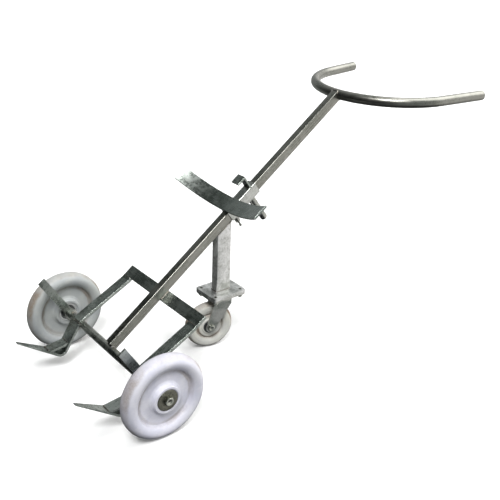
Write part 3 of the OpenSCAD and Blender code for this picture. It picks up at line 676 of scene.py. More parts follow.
def nylon(name, colour, centre, turn, recess, tread, dirt_and_shade_share, dirt=(0.23, 0.17, 0.12), rough=0.42):
    """Moulded and turned nylon about a wheel's centre: a slightly clouded colour, fine turning
    rings, soiling in the recess, soiling with painted shade on the tread's edge, and small scuffs.
    The turn brings the wheel's axis to X. The recess and the tread are each a range of distances
    from the axis."""
    material, tree, shader = blank(name, 0.0, IOR=1.53, Subsurface_Weight=0.12,
                                   Subsurface_Radius=(4 * MM, 4 * MM, 4 * MM), Subsurface_Scale=1.0)
    source = add(tree, "ShaderNodeTexCoord").outputs["Object"]
    centred = vector_maths(tree, "SUBTRACT", source, tuple(centre))[0]
    centred = add(tree, "ShaderNodeMapping", {"Vector": centred, "Rotation": (0.0, 0.0, turn)}).outputs[0]
    spots = grouped(tree, mottling(), {"Vector": centred, "Scale": 16.0})
    scars = grouped(tree, scratches(), {"Vector": centred})["Mask"]
    in_recess, tread_dirt_and_shade = [
        grouped(tree, ring_dirt_and_shade(), {"Vector": centred, "Inner": low, "Outer": high, "Soft": soft})["Mask"]
        for (low, high), soft in ((recess, 5 * MM), (tread, 6 * MM))]
    base = mixed(tree, spots["Cloud"], scaled(colour, (0.84, 0.85, 0.90)), colour)
    # The tread ring is real soiling, made strong enough to paint the shade on the tread's side.
    dirt_and_shade_mask = times(tree, maths(tree, "MAXIMUM", in_recess, times(tree, tread_dirt_and_shade, 1.35)), dirt_and_shade_share)
    base = mixed(tree, dirt_and_shade_mask, base, dirt)
    specks = ranged(tree, noise(tree, centred, 900.0, 2.0, 0.5), 0.70, 0.76)
    specks = times(tree, specks, times(tree, spots["Stain"], 0.7))
    base = mixed(tree, specks, base, (0.18, 0.15, 0.12))
    base = mixed(tree, times(tree, scars, 0.22), base, scaled(colour, 0.55))
    tree.links.new(base, shader.inputs["Base Color"])
    roughness = plus(tree, times(tree, spots["Cloud"], 0.12), rough - 0.06)
    roughness = plus(tree, roughness, times(tree, dirt_and_shade_mask, 0.35), clamp=True)
    tree.links.new(roughness, shader.inputs["Roughness"])
    outwards = add(tree, "ShaderNodeCombineXYZ", {0: radius_of(tree, centred)}).outputs[0]
    rings = noise(tree, outwards, 2600.0, 2.0, 0.6)
    relief = plus(tree, times(tree, rings, 0.5), times(tree, spots["Cloud"], 0.8))
    bumped(tree, shader, maths(tree, "SUBTRACT", relief, times(tree, scars, 0.8)), 0.06 * MM)
    return material


def weld_metal():
    """Weld metal: a painted highlight on the ripples' crests over painted shade in the troughs, with straw
    and blue heat colours in patches.
    """
    if "weld_metal" in bpy.data.materials:
        return bpy.data.materials["weld_metal"]
    material, tree, shader = blank("weld_metal", 1.0)
    source = add(tree, "ShaderNodeTexCoord")
    place_in = source.outputs["Object"]
    spots = grouped(tree, mottling(), {"Vector": place_in, "Scale": 60.0})
    along = add(tree, "ShaderNodeSeparateXYZ", {0: source.outputs["UV"]}).outputs[0]
    wave = maths(tree, "SINE", times(tree, along, TURN / size_set().ripple))
    crest = ranged(tree, wave, -0.4, 1.0)
    colour = tuple(finish_set().weld)
    # Painted highlight on each ripple's crest, painted shade in the trough between.
    base = mixed(tree, crest, scaled(colour, 0.45), scaled(colour, 1.5))
    straw = ranged(tree, noise(tree, place_in, 35.0, 3.0, 0.5), 0.5, 0.62)
    base = mixed(tree, times(tree, straw, 0.35), base, (0.34, 0.27, 0.17))
    blue = ranged(tree, noise(tree, place_in, 48.0, 3.0, 0.5, 0.4), 0.58, 0.68)
    base = mixed(tree, times(tree, blue, 0.3), base, (0.16, 0.19, 0.27))
    base = mixed(tree, times(tree, spots["Stain"], 0.7), base, (0.05, 0.048, 0.045))
    tree.links.new(base, shader.inputs["Base Color"])
    tree.links.new(plus(tree, times(tree, spots["Cloud"], 0.25), 0.30), shader.inputs["Roughness"])
    bumped(tree, shader, plus(tree, crest, spots["Cloud"]), 0.12 * MM)
    return material


ALONG_SPINE = (-SPINE_TILT, 0.0, 0.0)       # rotations that bring a piece's length to +Y
ALONG_AXLE = (0.0, 0.0, math.pi / 2)
UPRIGHT = (-math.pi / 2, 0.0, 0.0)
LEVEL = (0.0, 0.0, 0.0)


RECIPES = {
    "polished_tube": dict(rough=0.30, streak=0.55, cloud=0.40, stain=0.25, scale=14.0, wear=0.45),
    "sleeve_steel": dict(colour=(0.62, 0.62, 0.60), rough=0.30, streak=0.45, cloud=0.4, stain=0.3,
                         scale=30.0),
    "blasted_plate": dict(rough=0.36, streak=0.18, cloud=0.75, stain=0.35, scale=30.0,
                          bump=0.05 * MM, tint=(0.80, 0.81, 0.79)),
    "flat_bar": dict(rough=0.27, streak=0.35, cloud=0.55, stain=0.35, scale=24.0, bump=0.04 * MM,
                     wear=0.4),
    "turned_steel": dict(colour=(0.46, 0.455, 0.43), rough=0.27, streak=0.6, cloud=0.35, stain=0.4,
                         scale=60.0),
    "bearing_steel": dict(colour=(0.55, 0.55, 0.56), rough=0.18, streak=0.4, cloud=0.3, stain=0.1,
                          scale=90.0),
    "fastener_steel": dict(colour=(0.66, 0.65, 0.60), rough=0.17, streak=0.2, cloud=0.4, stain=0.35,
                           scale=110.0),
    "pressed_steel": dict(colour=(0.62, 0.61, 0.59), rough=0.36, streak=0.15, cloud=0.65, stain=0.35,
                          scale=34.0),
    "end_washer": dict(colour=(0.21, 0.205, 0.17), rough=0.34, streak=0.5, cloud=0.5, stain=0.5,
                       scale=80.0, wear=0.5),
    "hub_cover": dict(colour=(0.16, 0.165, 0.17), rough=0.42, streak=0.3, cloud=0.5, stain=0.4,
                      scale=70.0, wear=0.5),
}


def finish_of(recipe, flow=None):
    """The material of a recipe, with its streaks along the piece's length, or along its texture."""
    f = finish_set()
    name = recipe + ("_uv" if flow is None else "".join(f"_{round(math.degrees(a))}" for a in flow))
    tones = {"polished_tube": tuple(f.steel), "blasted_plate": tuple(f.plate), "flat_bar": tuple(f.bar)}
    return metal(name, flow=flow, **{"colour": tones.get(recipe), **RECIPES[recipe]})


# ---- Pieces ----

def tube_walls(outer, inner, start, end, at):
    """A hollow bar: rows of the outer outline from start to end, then of the inner outline back,
    joined at both ends. start and end give the place along the bar for each outline point, and
    at(a, b, w) puts outline point (a, b) at place w."""
    rows = []
    for outline, shares in ((outer, (0.0, 0.02, 0.5, 0.98, 1.0)), (inner, (1.0, 0.5, 0.0))):
        low, high = start(outline), end(outline)
        rows += [at(outline[:, 0], outline[:, 1], low + (high - low) * k) for k in shares]
    return patch(np.stack(rows), wrap_u=True)


def cope(radius, centre, middle_n, sign):
    """The place along the spine where a wall meets a crossing round bar: centre plus or minus
    sqrt(r^2 - d^2), with d the wall's distance from the bar's middle."""
    def cut(outline):
        d = outline[:, 1] - middle_n
        return centre + sign * np.sqrt(np.clip(radius ** 2 - d ** 2, 0, None))
    return cut


def make_spine():
    """The spine, its walls coped over the axle at the foot and under the handle at the top."""
    low, high = on_spine("spine_tube")
    corner, width, depth = size_set().tube_corner, high[0] - low[0], high[2] - low[2]
    shift = np.array([0, (low[2] + high[2]) / 2])
    outer = rounded_box(width, depth, corner) + shift
    inner = rounded_box(width - 2 * TUBE_WALL, depth - 2 * TUBE_WALL, corner / 2) + shift
    over_axle = cope(np.ptp(points_of("axle_shaft")[:, 2]) / 2, 0.0, 0.0, 1)
    under_handle = cope(HANDLE_R, *bow_place(), -1)
    walls = tube_walls(outer, inner, lambda o: np.maximum(over_axle(o), low[1]), under_handle,
                       lambda a, b, w: spine_point(a, w, b))
    build("spine", [walls], "frame", finish_of("polished_tube", ALONG_SPINE),
          ["spine_tube"])


def bow_place():
    """Where the handle's bow crosses the spine: its distance up the spine and out of its front."""
    tube = points_of("handle_tube")
    front = tube[:, 1].min()
    near = tube[(np.abs(tube[:, 0]) < 8 * MM) & (tube[:, 1] < front + 2 * HANDLE_R + 1 * MM)]
    off = (near.min(0) + near.max(0)) / 2 * (Y + Z) - AXLE
    return off @ ALONG, off @ FRONT


def make_post():
    """The upright post, cut off at the top where its walls meet the spine's back."""
    low, high = np.array(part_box("post_tube"))
    middle = (low + high)[:2] / 2
    width, depth = (high - low)[:2]
    corner = size_set().tube_corner
    back = on_spine("spine_tube")[0][2]

    def top(outline):
        """Height where an upright wall meets the spine's back plane."""
        along = (outline[:, 1] - AXLE[1] - FRONT[1] * back) / ALONG[1]
        return AXLE[2] + ALONG[2] * along + FRONT[2] * back
    walls = tube_walls(rounded_box(width, depth, corner) + middle,
                       rounded_box(width - 2 * TUBE_WALL, depth - 2 * TUBE_WALL, corner / 2) + middle,
                       lambda o: np.full(len(o), low[2]), top,
                       lambda a, b, w: np.stack([a, b, w], axis=-1))
    build("post", [walls], "frame", finish_of("blasted_plate", UPRIGHT), ["post_tube"])


def handle_path():
    """The handle's centre line, from the left end to the right, and the normal of its plane. It is
    an arc, front + r (sin t X + (1 - cos t) F) with t from minus to plus the bow's half angle,
    between two straight arms. F is the way half between the arms, and r makes the arc meet the
    right arm's own line."""
    grips = [MOUNTS[side + "_grip"] for side in ("left", "right")]
    ways = [np.array(grip["axis"]) for grip in grips]
    way = ways[1]
    ahead = (ways[0] + way) / np.linalg.norm(ways[0] + way)
    half = math.acos(way[0])
    front = spine_point(0.0, *bow_place())
    grip_off = np.array(grips[1]["pos_m"]) - front
    slope = way[0] / (way @ ahead)
    radius = (grip_off @ X - grip_off @ ahead * slope) / (math.sin(half) - (1 - math.cos(half)) * slope)
    t = np.linspace(-half, half, 181)[:, None]
    arc = front + radius * (np.sin(t) * X + (1 - np.cos(t)) * ahead)
    tube = points_of("handle_tube")
    arms = []
    for start, out in zip((arc[0], arc[-1]), ways):
        reach = ((tube[tube[:, 0] * out[0] > 0] - start) @ out).max()
        arms.append(start + np.linspace(0, reach, 40)[1:, None] * out)
    return np.concatenate([arms[0][::-1], arc, arms[1]]), np.cross(X, ahead)


def make_handle():
    """The handle's tube, just under its full size, with a domed plug in each end."""
    path, up = handle_path()
    radius = HANDLE_R * 0.998
    tube = swept(path, up, circle(radius, 48))
    build("handle", [tube], "frame", finish_of("polished_tube"), ["handle_tube"], sharp=60)
    skirt, dome_r = radius - 0.5 * MM, radius - 0.1 * MM
    dome = [(0.0, -3 * MM, 0), (skirt, -3 * MM, 0), (skirt, 0.3 * MM, 0), (dome_r, 0.35 * MM, 0)]
    dome += ellipse_arc((0, 0.5 * MM), (dome_r, 4.4 * MM), 4, 90, 12)
    plugs = [revolved(filleted(dome), end, way, 64)
             for end, way in ((path[-1], path[-1] - path[-2]), (path[0], path[0] - path[1]))]
    build("handle_plugs", plugs, "frame", finish_of("turned_steel"),
          ["handle_end_plugs"])


def make_bars():
    """The flat bars and the mounting plate, with their edges eased."""
    edge = size_set().bar_edge
    for node in ("left_side_rail", "right_side_rail", "left_fork_arm", "right_fork_arm"):
        eased(node, edge, finish_of(SLOT_OF[node], ALONG_SPINE))
    eased("cross_rail", edge, finish_of("flat_bar", ALONG_AXLE))
    for node in ("left_toe", "right_toe", "left_toe_brace", "right_toe_brace"):
        eased(node, edge * 0.8, finish_of("flat_bar", LEVEL))
    eased("mounting_plate", edge, finish_of("blasted_plate", LEVEL))


def round_bar(low, high, radius, chamfer, bore=0.0):
    """The section of a plain or bored round bar with chamfered ends."""
    return filleted([(bore, low, 0), (radius, low, chamfer), (radius, high, chamfer), (bore, high, 0)], 2)


def on_side(node, side):
    """A node's nearest and furthest places along the axle on one side, and its radius."""
    points = points_of(node)
    out = side * points[:, 0]
    return out[out > 0].min(), out.max(), np.ptp(points[:, 2]) / 2


def washer_section(seat, face, radius):
    """An end washer with a rounded rim and a fine groove turned into its face."""
    dip, edge = face - 0.25 * MM, 0.3 * MM
    return filleted([(5 * MM, seat, 0), (radius - 0.5 * MM, seat, 0), (radius, seat + 0.5 * MM, 0),
                     (radius, face - 0.7 * MM, edge), (radius - 0.7 * MM, face, edge),
                     (radius * 0.62, face, edge / 3), (radius * 0.60, dip, edge / 3),
                     (radius * 0.56, dip, edge / 3), (radius * 0.54, face, edge / 3),
                     (5 * MM, face, 0)], 3)


def make_axle():
    """The axle, and a collar, an end washer and a bolt head on each side of it."""
    low, high = np.array(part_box("axle_shaft"))
    radius = (high[2] - low[2]) / 2
    shaft = revolved(round_bar(low[0], high[0], radius, 0.6 * MM), AXLE, X, 96)
    build("axle", [shaft], "frame", finish_of("turned_steel", ALONG_AXLE), ["axle_shaft"])
    collars, washers, bolts = [], [], []
    flange, sunk = 0.8 * MM, 0.6 * MM
    for side in (-1, 1):
        out = side * X
        seat, face, washer_r = on_side("axle_end_washers", side)
        washers.append(revolved(washer_section(seat, face, washer_r), AXLE, out, 128))
        head = points_of("axle_end_bolts")
        head = head[side * head[:, 0] > face + 1 * MM]
        flats = np.ptp(head[:, 1:], axis=0).min()
        top = on_side("axle_end_bolts", side)[1]
        bolts.append(revolved(round_bar(face, face + flange, flats * 0.49, 0.1 * MM), AXLE, out, 64))
        bolts.append(hexagon_head(AXLE + out * (face + sunk), out, flats, top - face - sunk, 0.35))
        start, end, collar_r = on_side("axle_collars", side)
        bored = round_bar(start, end, collar_r, 0.8 * MM, radius + 0.02 * MM)
        collars.append(revolved(bored, AXLE, out, 96))
    for name, node, patches, finish in (
            ("axle_collar_pieces", "axle_collars", collars, finish_of("turned_steel")),
            ("end_washer_pieces", "axle_end_washers", washers, finish_of("end_washer")),
            ("end_bolt_pieces", "axle_end_bolts", bolts, finish_of("fastener_steel", LEVEL))):
        build(name, patches, "frame", finish, [node])


def mirrored(half):
    """A closed section from its half on the positive side: the half, then its mirror image back."""
    return half + [(r, -a, f) for r, a, f in half[::-1]]


def rim_arc(lip, radius, half, count):
    """A rim's bulge, from the lip at the rim's full width out to the tread at its full radius."""
    first = 12
    return ellipse_arc((lip, 0), ((radius - lip) / math.cos(math.radians(first)), half), 90, first, count)


def wheel_section(radius, half):
    """A main wheel: bearing seat, recessed hub face, flared boss, dished web and bulged rim."""
    bore, seat, recess_r, boss = 12 * MM, 23.5 * MM, 26.5 * MM, 34 * MM
    hub, web, rim_in = 17 * MM, 7 * MM, 68 * MM
    face, lip, floor = hub + size_set().hub_recess, radius - 16 * MM, 2 * MM
    corners = [(bore, floor, 0), (seat, floor, 0), (seat, hub, 0), (recess_r, hub, 0.4 * MM),
               (recess_r, face, 0.8 * MM), (boss - 1.5 * MM, face, 2 * MM),
               (boss + 1 * MM, web + 3 * MM, 1.5 * MM), (boss + 6 * MM, web, 3.5 * MM),
               (rim_in - 1.5 * MM, web - 0.3 * MM, 2.2 * MM)]
    rise = web + 2 * MM
    corners += ellipse_arc((lip, rise), (lip - rim_in, half - rise), 172, 94, 22)
    return filleted(mirrored(corners + rim_arc(lip, radius, half, 28)), 5)


def shield_section():
    """A bearing's shield: a flat ring with a raised rim, outside the ring that it covers."""
    inner, step, outer, face = 14.7 * MM, 16.4 * MM, 19.3 * MM, 15.6 * MM
    dip = face - 0.3 * MM
    back = face - 0.6 * MM
    return filleted([(inner, dip, 0), (step, dip, 0), (step, face, 0.3 * MM), (outer, face, 0.2 * MM),
                     (outer, back, 0), (inner, back, 0)], 3)


def make_wheels():
    """The main wheels, the far one made greyer and darker as painted shade, and the shields of their
    bearings.
    """
    f = finish_set()
    # The far wheel's darker nylon and stronger dark rings are painted shade.
    for side, colour, grime in (("right", f.nylon, f.grime), ("left", f.far_nylon, f.grime * 1.4)):
        node = side + "_wheel"
        low, high = np.array(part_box(node))
        centre = (low + high) / 2
        material = nylon(side + "_nylon", tuple(colour), centre, 0.0, (62.5 * MM, 67.5 * MM),
                         (98.5 * MM, 101 * MM), grime)
        section = wheel_section((high[2] - low[2]) / 2, (high[0] - low[0]) / 2)
        build(node + "_piece", [revolved(section, centre, X, 192)], node, material,
              [node], sharp=30)
        shields = [revolved(shield_section(), centre, way, 96) for way in (X, -X)]
        build(side + "_bearing_shields", shields, node, finish_of("hub_cover"))


def caster_section(radius, half_hub):
    """The caster wheel: raised hub, inner ring, a narrow step down, a web and a bulged rim."""
    half, hub_r, lip = 13.5 * MM, 22 * MM, radius - 10 * MM
    ring, step = half - 2 * MM, half - 6.5 * MM
    corners = [(12.2 * MM, half_hub - 0.2 * MM, 0), (hub_r - 1 * MM, half_hub, 0.8 * MM),
               (hub_r + 1 * MM, ring + 0.5 * MM, 0.6 * MM), (hub_r + 9 * MM, ring, 1.6 * MM),
               (hub_r + 9.6 * MM, step, 0.5 * MM), (hub_r + 12 * MM, step, 0.8 * MM),
               (hub_r + 14.5 * MM, half - 2.5 * MM, 1.6 * MM), (lip - 7 * MM, half - 0.2 * MM, 2.5 * MM)]
    return filleted(mirrored(corners + rim_arc(lip, radius, half, 24)))


def cover_section(face, radius):
    """A hub cover: a shallow cap with a bevelled rim and a step round its bore."""
    bore, step, sunk = 8.6 * MM, 11 * MM, face - 0.5 * MM
    return filleted([(bore, face - 1.4 * MM, 0), (radius, face - 1.4 * MM, 0),
                     (radius, face - 0.7 * MM, 0.4 * MM), (radius - 2.5 * MM, face, 0.8 * MM),
                     (step + 1 * MM, face, 0.5 * MM), (step, sunk, 0.4 * MM), (bore, sunk, 0)], 3)


def make_caster():
    """The caster's wheel, covers, fork, plate, axle bolt and nut, and its fixed upper race."""
    f = finish_set()
    joint = JOINTS["caster_wheel_spin"]
    centre, way = np.array(joint["pos_m"]), np.array(joint["axis"])
    half_hub, radius = extent("caster_wheel", centre, (way, Z))[1]
    material = nylon("caster_nylon", tuple(f.caster), centre, -math.atan2(way[1], way[0]),
                     (31.2 * MM, 34.5 * MM), (60.5 * MM, 63.5 * MM), f.grime * 1.7, dirt=(0.20, 0.13, 0.085))
    build("caster_wheel_piece", [revolved(caster_section(radius, half_hub), centre, way, 160)],
          "caster_wheel", material, ["caster_wheel"], sharp=30)
    cover = cover_section(*extent("caster_hub_covers", centre, (way, Z))[1])
    build("caster_cover_pieces", [revolved(cover, centre, out, 96) for out in (way, -way)],
          "caster_wheel", finish_of("hub_cover"), ["caster_hub_covers"])
    eased("caster_fork", 0.7 * MM, finish_of("pressed_steel", UPRIGHT), angle=35)
    eased("caster_top_plate", 0.5 * MM, finish_of("pressed_steel", LEVEL))
    start, end = (corner[0] for corner in extent("caster_axle_bolt", centre, (way, Z)))
    leg, flats, flange = 21.5 * MM, 16 * MM, 1.2 * MM           # outside of the fork's legs, and the head
    seat = leg + flange
    steel = finish_of("fastener_steel", LEVEL)
    head = hexagon_head(centre + way * seat, way, flats, end - seat, 0.5)
    disc = revolved(round_bar(leg, seat, 10 * MM, 0.4 * MM), centre, way, 64)
    shank = revolved(round_bar(start, leg + 1 * MM, 5 * MM, 0.8 * MM), centre, way, 48)
    build("caster_bolt_piece", [head, disc, shank], "caster_fork", steel,
          ["caster_axle_bolt"])
    nut = hexagon_head(centre - way * leg, -way, flats, 8 * MM, 0.2)
    build("caster_nut_piece", [nut], "caster_fork", steel, ["caster_axle_nut"])
    low, high = np.array(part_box("caster_upper_race"))
    hub, race_r, bore = (low + high) / 2 * (X + Y), (high[0] - low[0]) / 2, 14 * MM
    race = filleted([(bore, low[2], 0), (race_r - 3 * MM, low[2], 0.8 * MM),
                     (race_r, low[2] + 2.5 * MM, 1.2 * MM), (race_r, high[2], 0.2 * MM),
                     (bore, high[2], 0)], 4)
    build("upper_race_piece", [revolved(race, hub, Z, 128)], "frame", finish_of("pressed_steel"),
          ["caster_upper_race"])


def grip_section(r, reach):
    """The round grip: a plain bar with a fine groove near its root and a domed end."""
    groove = r - 0.25 * MM
    return [(0, 0, 0), (r, 0, 0), (r, 3 * MM, 0.2 * MM), (groove, 3.4 * MM, 0.1 * MM),
            (groove, 4.0 * MM, 0.1 * MM), (r, 4.4 * MM, 0.2 * MM),
            *ellipse_arc((0, reach - 4 * MM), (r, 4 * MM), 0, 90, 14)]


def boss_section(r, reach):
    """The clamp screw's boss: a short bored bar."""
    bore = 4.1 * MM
    return [(bore, 0, 0), (r, 0, 0), (r, reach, 0.8 * MM), (bore, reach, 0.2 * MM)]


def screw_section(r, reach):
    """The clamp screw: its shank, through the sleeve's wall, and its round head."""
    shank, tip, neck = 4 * MM, -2.6 * MM, reach - 11 * MM
    return [(0, tip, 0), (shank, tip, 0), (shank, neck, 0.2 * MM), (r, neck, 0.9 * MM),
            (r, reach, 1.0 * MM), (0, reach, 0)]


def make_sleeve():
    """The square sleeve that slides on the spine."""
    low, high = on_spine("carriage_sleeve")
    wall, corner = 2.6 * MM, 2.6 * MM
    middle = np.array([0, (low[2] + high[2]) / 2])
    width, depth = high[0] - low[0], high[2] - low[2]
    walls = tube_walls(rounded_box(width, depth, corner) + middle,
                       rounded_box(width - 2 * wall, depth - 2 * wall, 0.6 * MM) + middle,
                       lambda o: np.full(len(o), low[1]), lambda o: np.full(len(o), high[1]),
                       lambda a, b, w: spine_point(a, w, b))
    build("sleeve", [walls], "carriage", finish_of("sleeve_steel", ALONG_SPINE),
          ["carriage_sleeve"])


def make_tommy_bar():
    """The small bar through the clamp screw's head, with a ball on each end: the rod's radius meets
    each ball where the ball's own angle has that radius."""
    bar = points_of("tommy_bar")
    centre = (bar.min(0) + bar.max(0)) / 2
    way = bar[bar[:, 0] > centre[0] + 15 * MM].mean(0) - centre
    way -= (way @ FRONT) * FRONT
    way /= np.linalg.norm(way)
    ball, rod = 3.6 * MM, 2.5 * MM
    half = np.linalg.norm(bar - centre, axis=1).max() - ball
    start = math.degrees(math.acos(rod / ball))
    outline = filleted(mirrored(ellipse_arc((0, half), (ball, ball), -start, 90, 14)[::-1]))
    build("tommy_bar_piece", [revolved(outline, centre, way, 48)], "clamp_screw",
          finish_of("turned_steel"), ["tommy_bar"])


def make_carriage():
    """The sleeve, the cradle with its spacer and hook, and the round parts behind the sleeve."""
    make_sleeve()
    for node, edge, flow in (("cradle_spacer", 0.5 * MM, ALONG_AXLE), ("drum_cradle", 0.8 * MM, ALONG_AXLE),
                             ("drum_hook", 0.8 * MM, ALONG_SPINE)):
        eased(node, edge, finish_of("flat_bar", flow))
    back = on_spine("carriage_sleeve")[0][2]
    for node, body, section in (("carriage_grip", "carriage", grip_section),
                                ("clamp_screw_boss", "carriage", boss_section),
                                ("clamp_screw", "clamp_screw", screw_section)):
        low, high = on_spine(node)
        x, s = (low + high)[:2] / 2
        outline = filleted(section((high[0] - low[0]) / 2, back - low[2]), 4)
        build(node + "_piece", [revolved(outline, spine_point(x, s, back), -FRONT, 96)], body,
              finish_of("turned_steel"), [node])
    make_tommy_bar()


def ring_path(centre, axis, radius):
    """Points on a circle about an axis."""
    return centre + radius * ring_about(axis, round_the(60))[1]


def spine_welds(r):
    """Both sides and the back of the spine's foot on the axle."""
    low, high = on_spine("spine_tube")
    n = np.linspace(low[2], AXLE_R * 0.93, 16)
    saddle = np.sqrt(AXLE_R ** 2 - n ** 2)
    beads = [bead(spine_point(side * high[0], saddle, n), r, up=X, seed=side) for side in (-1, 1)]
    x = np.linspace(-high[0], high[0], 8)
    return beads + [bead(spine_point(x, saddle[0], low[2]), r, up=FRONT, seed=2)]


def rail_welds(side, k, r):
    """A side rail's foot on the axle, and its top against the cross rail."""
    low, high = on_spine(side + "_side_rail")
    back = on_spine("spine_tube")[0][2]
    x = np.linspace(low[0] + 1 * MM, high[0] - 1 * MM, 8)
    beads = [bead(spine_point(x, -0.6 * MM, AXLE_R + 0.2 * MM), r, up=FRONT, seed=3 + k),
             bead(spine_point(x, 6.5 * MM, AXLE_R * 0.74), r * 0.9, up=FRONT, seed=4 + k),
             bead(spine_point(x, high[1], back - 0.4 * MM), r * 0.55, up=FRONT, seed=5 + k),
             bead(spine_point(x, high[1], back - 7.6 * MM), r * 0.6, up=FRONT, seed=6 + k)]
    n = np.linspace(back - 7.5 * MM, back - 0.5 * MM, 5)
    return beads + [bead(spine_point(edge, high[1], n), r * 0.45, up=X, seed=7 + k)
                    for edge in (low[0], high[0])]


def fork_welds(side, k, r):
    """Both faces of a fork arm, round the front of the axle."""
    low, high = on_spine(side + "_fork_arm")
    t = np.radians(np.linspace(-68, 68, 20))
    return [bead(spine_point(edge, AXLE_R * np.cos(t), AXLE_R * np.sin(t)), r * 0.85, up=X, seed=8 + k)
            for edge in (low[0], high[0])]


def toe_welds(side, k, r):
    """A toe's leg on the axle, and both ends of the brace inside its bend."""
    low, high = np.array(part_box(side + "_toe"))
    x = np.linspace(low[0] + 1 * MM, high[0] - 1 * MM, 8)

    def on_toe(x, leg, out):
        """Points at x across the dolly, down the toe's leg and out of its inner side."""
        x = x[:, None]
        return AXLE + x * X + leg * TOE_DOWN + out * TOE_OUT
    beads = [bead(on_toe(x, 0.3 * MM, AXLE_R + 0.8 * MM), r * 1.05, up=TOE_OUT, seed=9 + k),
             bead(on_toe(x, 6.0 * MM, AXLE_R * 0.80), r, up=TOE_OUT, seed=10 + k)]
    inner = AXLE_R + 6 * MM
    return beads + [bead(on_toe(x[1:-1], leg, inner + out), r * 0.7, up=TOE_DOWN + TOE_OUT, seed=11 + k)
                    for leg, out in BRACE_ENDS]


def cross_rail_welds(r):
    """The cross rail against the sides and the back of the spine."""
    half, back = on_spine("spine_tube")[1][0], on_spine("spine_tube")[0][2]
    low, high = on_spine("cross_rail")
    s = np.linspace(low[1] + 1 * MM, high[1] - 1 * MM, 8)
    beads = [bead(spine_point(side * (half + 0.3 * MM), s, back - 0.3 * MM), r, up=X, seed=13 + side)
             for side in (-1, 1)]
    x = np.linspace(-half * 0.9, half * 0.9, 6)
    return beads + [bead(spine_point(x, s, back), r * 0.6, up=FRONT, seed=14) for s in (low[1], high[1])]


def post_welds(r):
    """A loop round the post's foot, and its top against the spine's back."""
    low, high = np.array(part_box("post_tube"))
    half, back = on_spine("spine_tube")[1][0], on_spine("spine_tube")[0][2]
    width, depth = (high - low)[:2] + 1.2 * MM
    loop = rounded_box(width, depth, 3 * MM) + (low + high)[:2] / 2
    loop = np.column_stack([loop, np.full(len(loop), low[2] + 0.5 * MM)])
    beads = [bead(loop, r * 0.55, closed=True, up=Z, seed=15)]
    ends = [(y - AXLE[1] - FRONT[1] * back) / ALONG[1] for y in (low[1], high[1])]
    s = np.linspace(*ends, 12)
    edge = (high[0] - low[0]) / 2 - 0.6 * MM
    beads += [bead(spine_point(side * edge, s, back - 0.2 * MM), r * 0.5, up=X, seed=16 + side)
              for side in (-1, 1)]
    x = np.linspace(-half, half, 6)
    return beads + [bead(spine_point(x, end, back - 0.4 * MM), r, up=FRONT, seed=18) for end in ends]


def handle_weld(r):
    """A loop round the top of the spine, dipped to the handle's own roundness."""
    low, high = on_spine("spine_tube")
    bow_s, bow_n = bow_place()
    loop = rounded_box(high[0] - low[0] + 0.6 * MM, high[2] - low[2], size_set().tube_corner)
    dip = np.sqrt(np.clip(HANDLE_R ** 2 - loop[:, 1] ** 2, 0, None))
    path = spine_point(loop[:, 0], bow_s - dip - 0.4 * MM, loop[:, 1] + bow_n)
    return [bead(path, r * 0.95, closed=True, up=ALONG, seed=20)]


def make_frame_welds():
    """Every bead on the frame, as one piece."""
    r = size_set().bead
    beads = spine_welds(r)
    for k, side in enumerate(("left", "right")):
        beads += rail_welds(side, k, r) + fork_welds(side, k, r) + toe_welds(side, k, r)
    beads += cross_rail_welds(r) + post_welds(r) + handle_weld(r)
    build("frame_welds", beads, "frame", weld_metal(), sharp=60)


def make_carriage_welds():
    """The spacer, the cradle, the hook, the grip and the boss on the sleeve, as one piece."""
    r = size_set().bead
    sleeve_low, sleeve_high = on_spine("carriage_sleeve")
    front, back, half = sleeve_high[2], sleeve_low[2], sleeve_high[0]
    low, high = on_spine("cradle_spacer")
    strip = on_spine("drum_cradle")[0][2] + 1 * MM
    s = np.linspace(low[1] + 1 * MM, high[1] - 1 * MM, 8)
    beads = []
    for side in (-1, 1):
        beads.append(bead(spine_point(side * half * 0.97, s, front), r * 0.7, up=X, seed=side))
        beads.append(bead(spine_point(side * (half + 0.2 * MM), s, strip), r * 0.8, up=X, seed=3 + side))
    x = np.linspace(-half * 0.92, half * 0.92, 8)
    beads.append(bead(spine_point(x, high[1], front + 0.2 * MM), r * 0.9, up=FRONT, seed=5))
    hook = on_spine("drum_hook")[1][1]
    for s in (hook + 0.2 * MM, hook - 5.2 * MM):
        beads.append(bead(spine_point(x, s, front + 0.3 * MM), r * 0.8, up=FRONT, seed=6))
    for node in ("carriage_grip", "clamp_screw_boss"):
        low, high = on_spine(node)
        x, s = (low + high)[:2] / 2
        ring = ring_path(spine_point(x, s, back - 0.4 * MM), FRONT, (high[0] - low[0]) / 2 + 0.3 * MM)
        beads.append(bead(ring, r * 0.75, closed=True, up=FRONT, seed=8))
    build("carriage_welds", beads, "carriage", weld_metal(), sharp=60)


def finish_rest():
    """Every CAD node still shown gets its slot's finish."""
    for node, piece in NODES.items():
        if piece.hide_render:
            continue
        for part in piece.material_slots:
            part.material = finish_of(SLOT_OF[node], LEVEL)


BRIGHT_WAY, PANEL_WAY = (0.20, 0.97, -0.10), (0.15, 0.57, 0.81)     # from the dolly
ROOM_STEPS = ((-0.62, -0.44, (0.125, 0.140, 0.134)),                # how far towards the bright side
              (-0.46, -0.12, (0.36, 0.38, 0.38)),                   # each step starts and ends, and
              (0.28, 0.72, (0.98, 0.97, 0.95)))                     # the colour that it leads to
KEY_FROM = (0.37, -0.39, 0.84)
CAMERA_AT, CAMERA_AIM = (1.3009, -0.6836, 1.0436), (0.1822, 0.2542, 0.2853)
CAMERA_ROLL = math.radians(-2.437)
CAMERA_SHIFT = (0.0059, 0.0579)


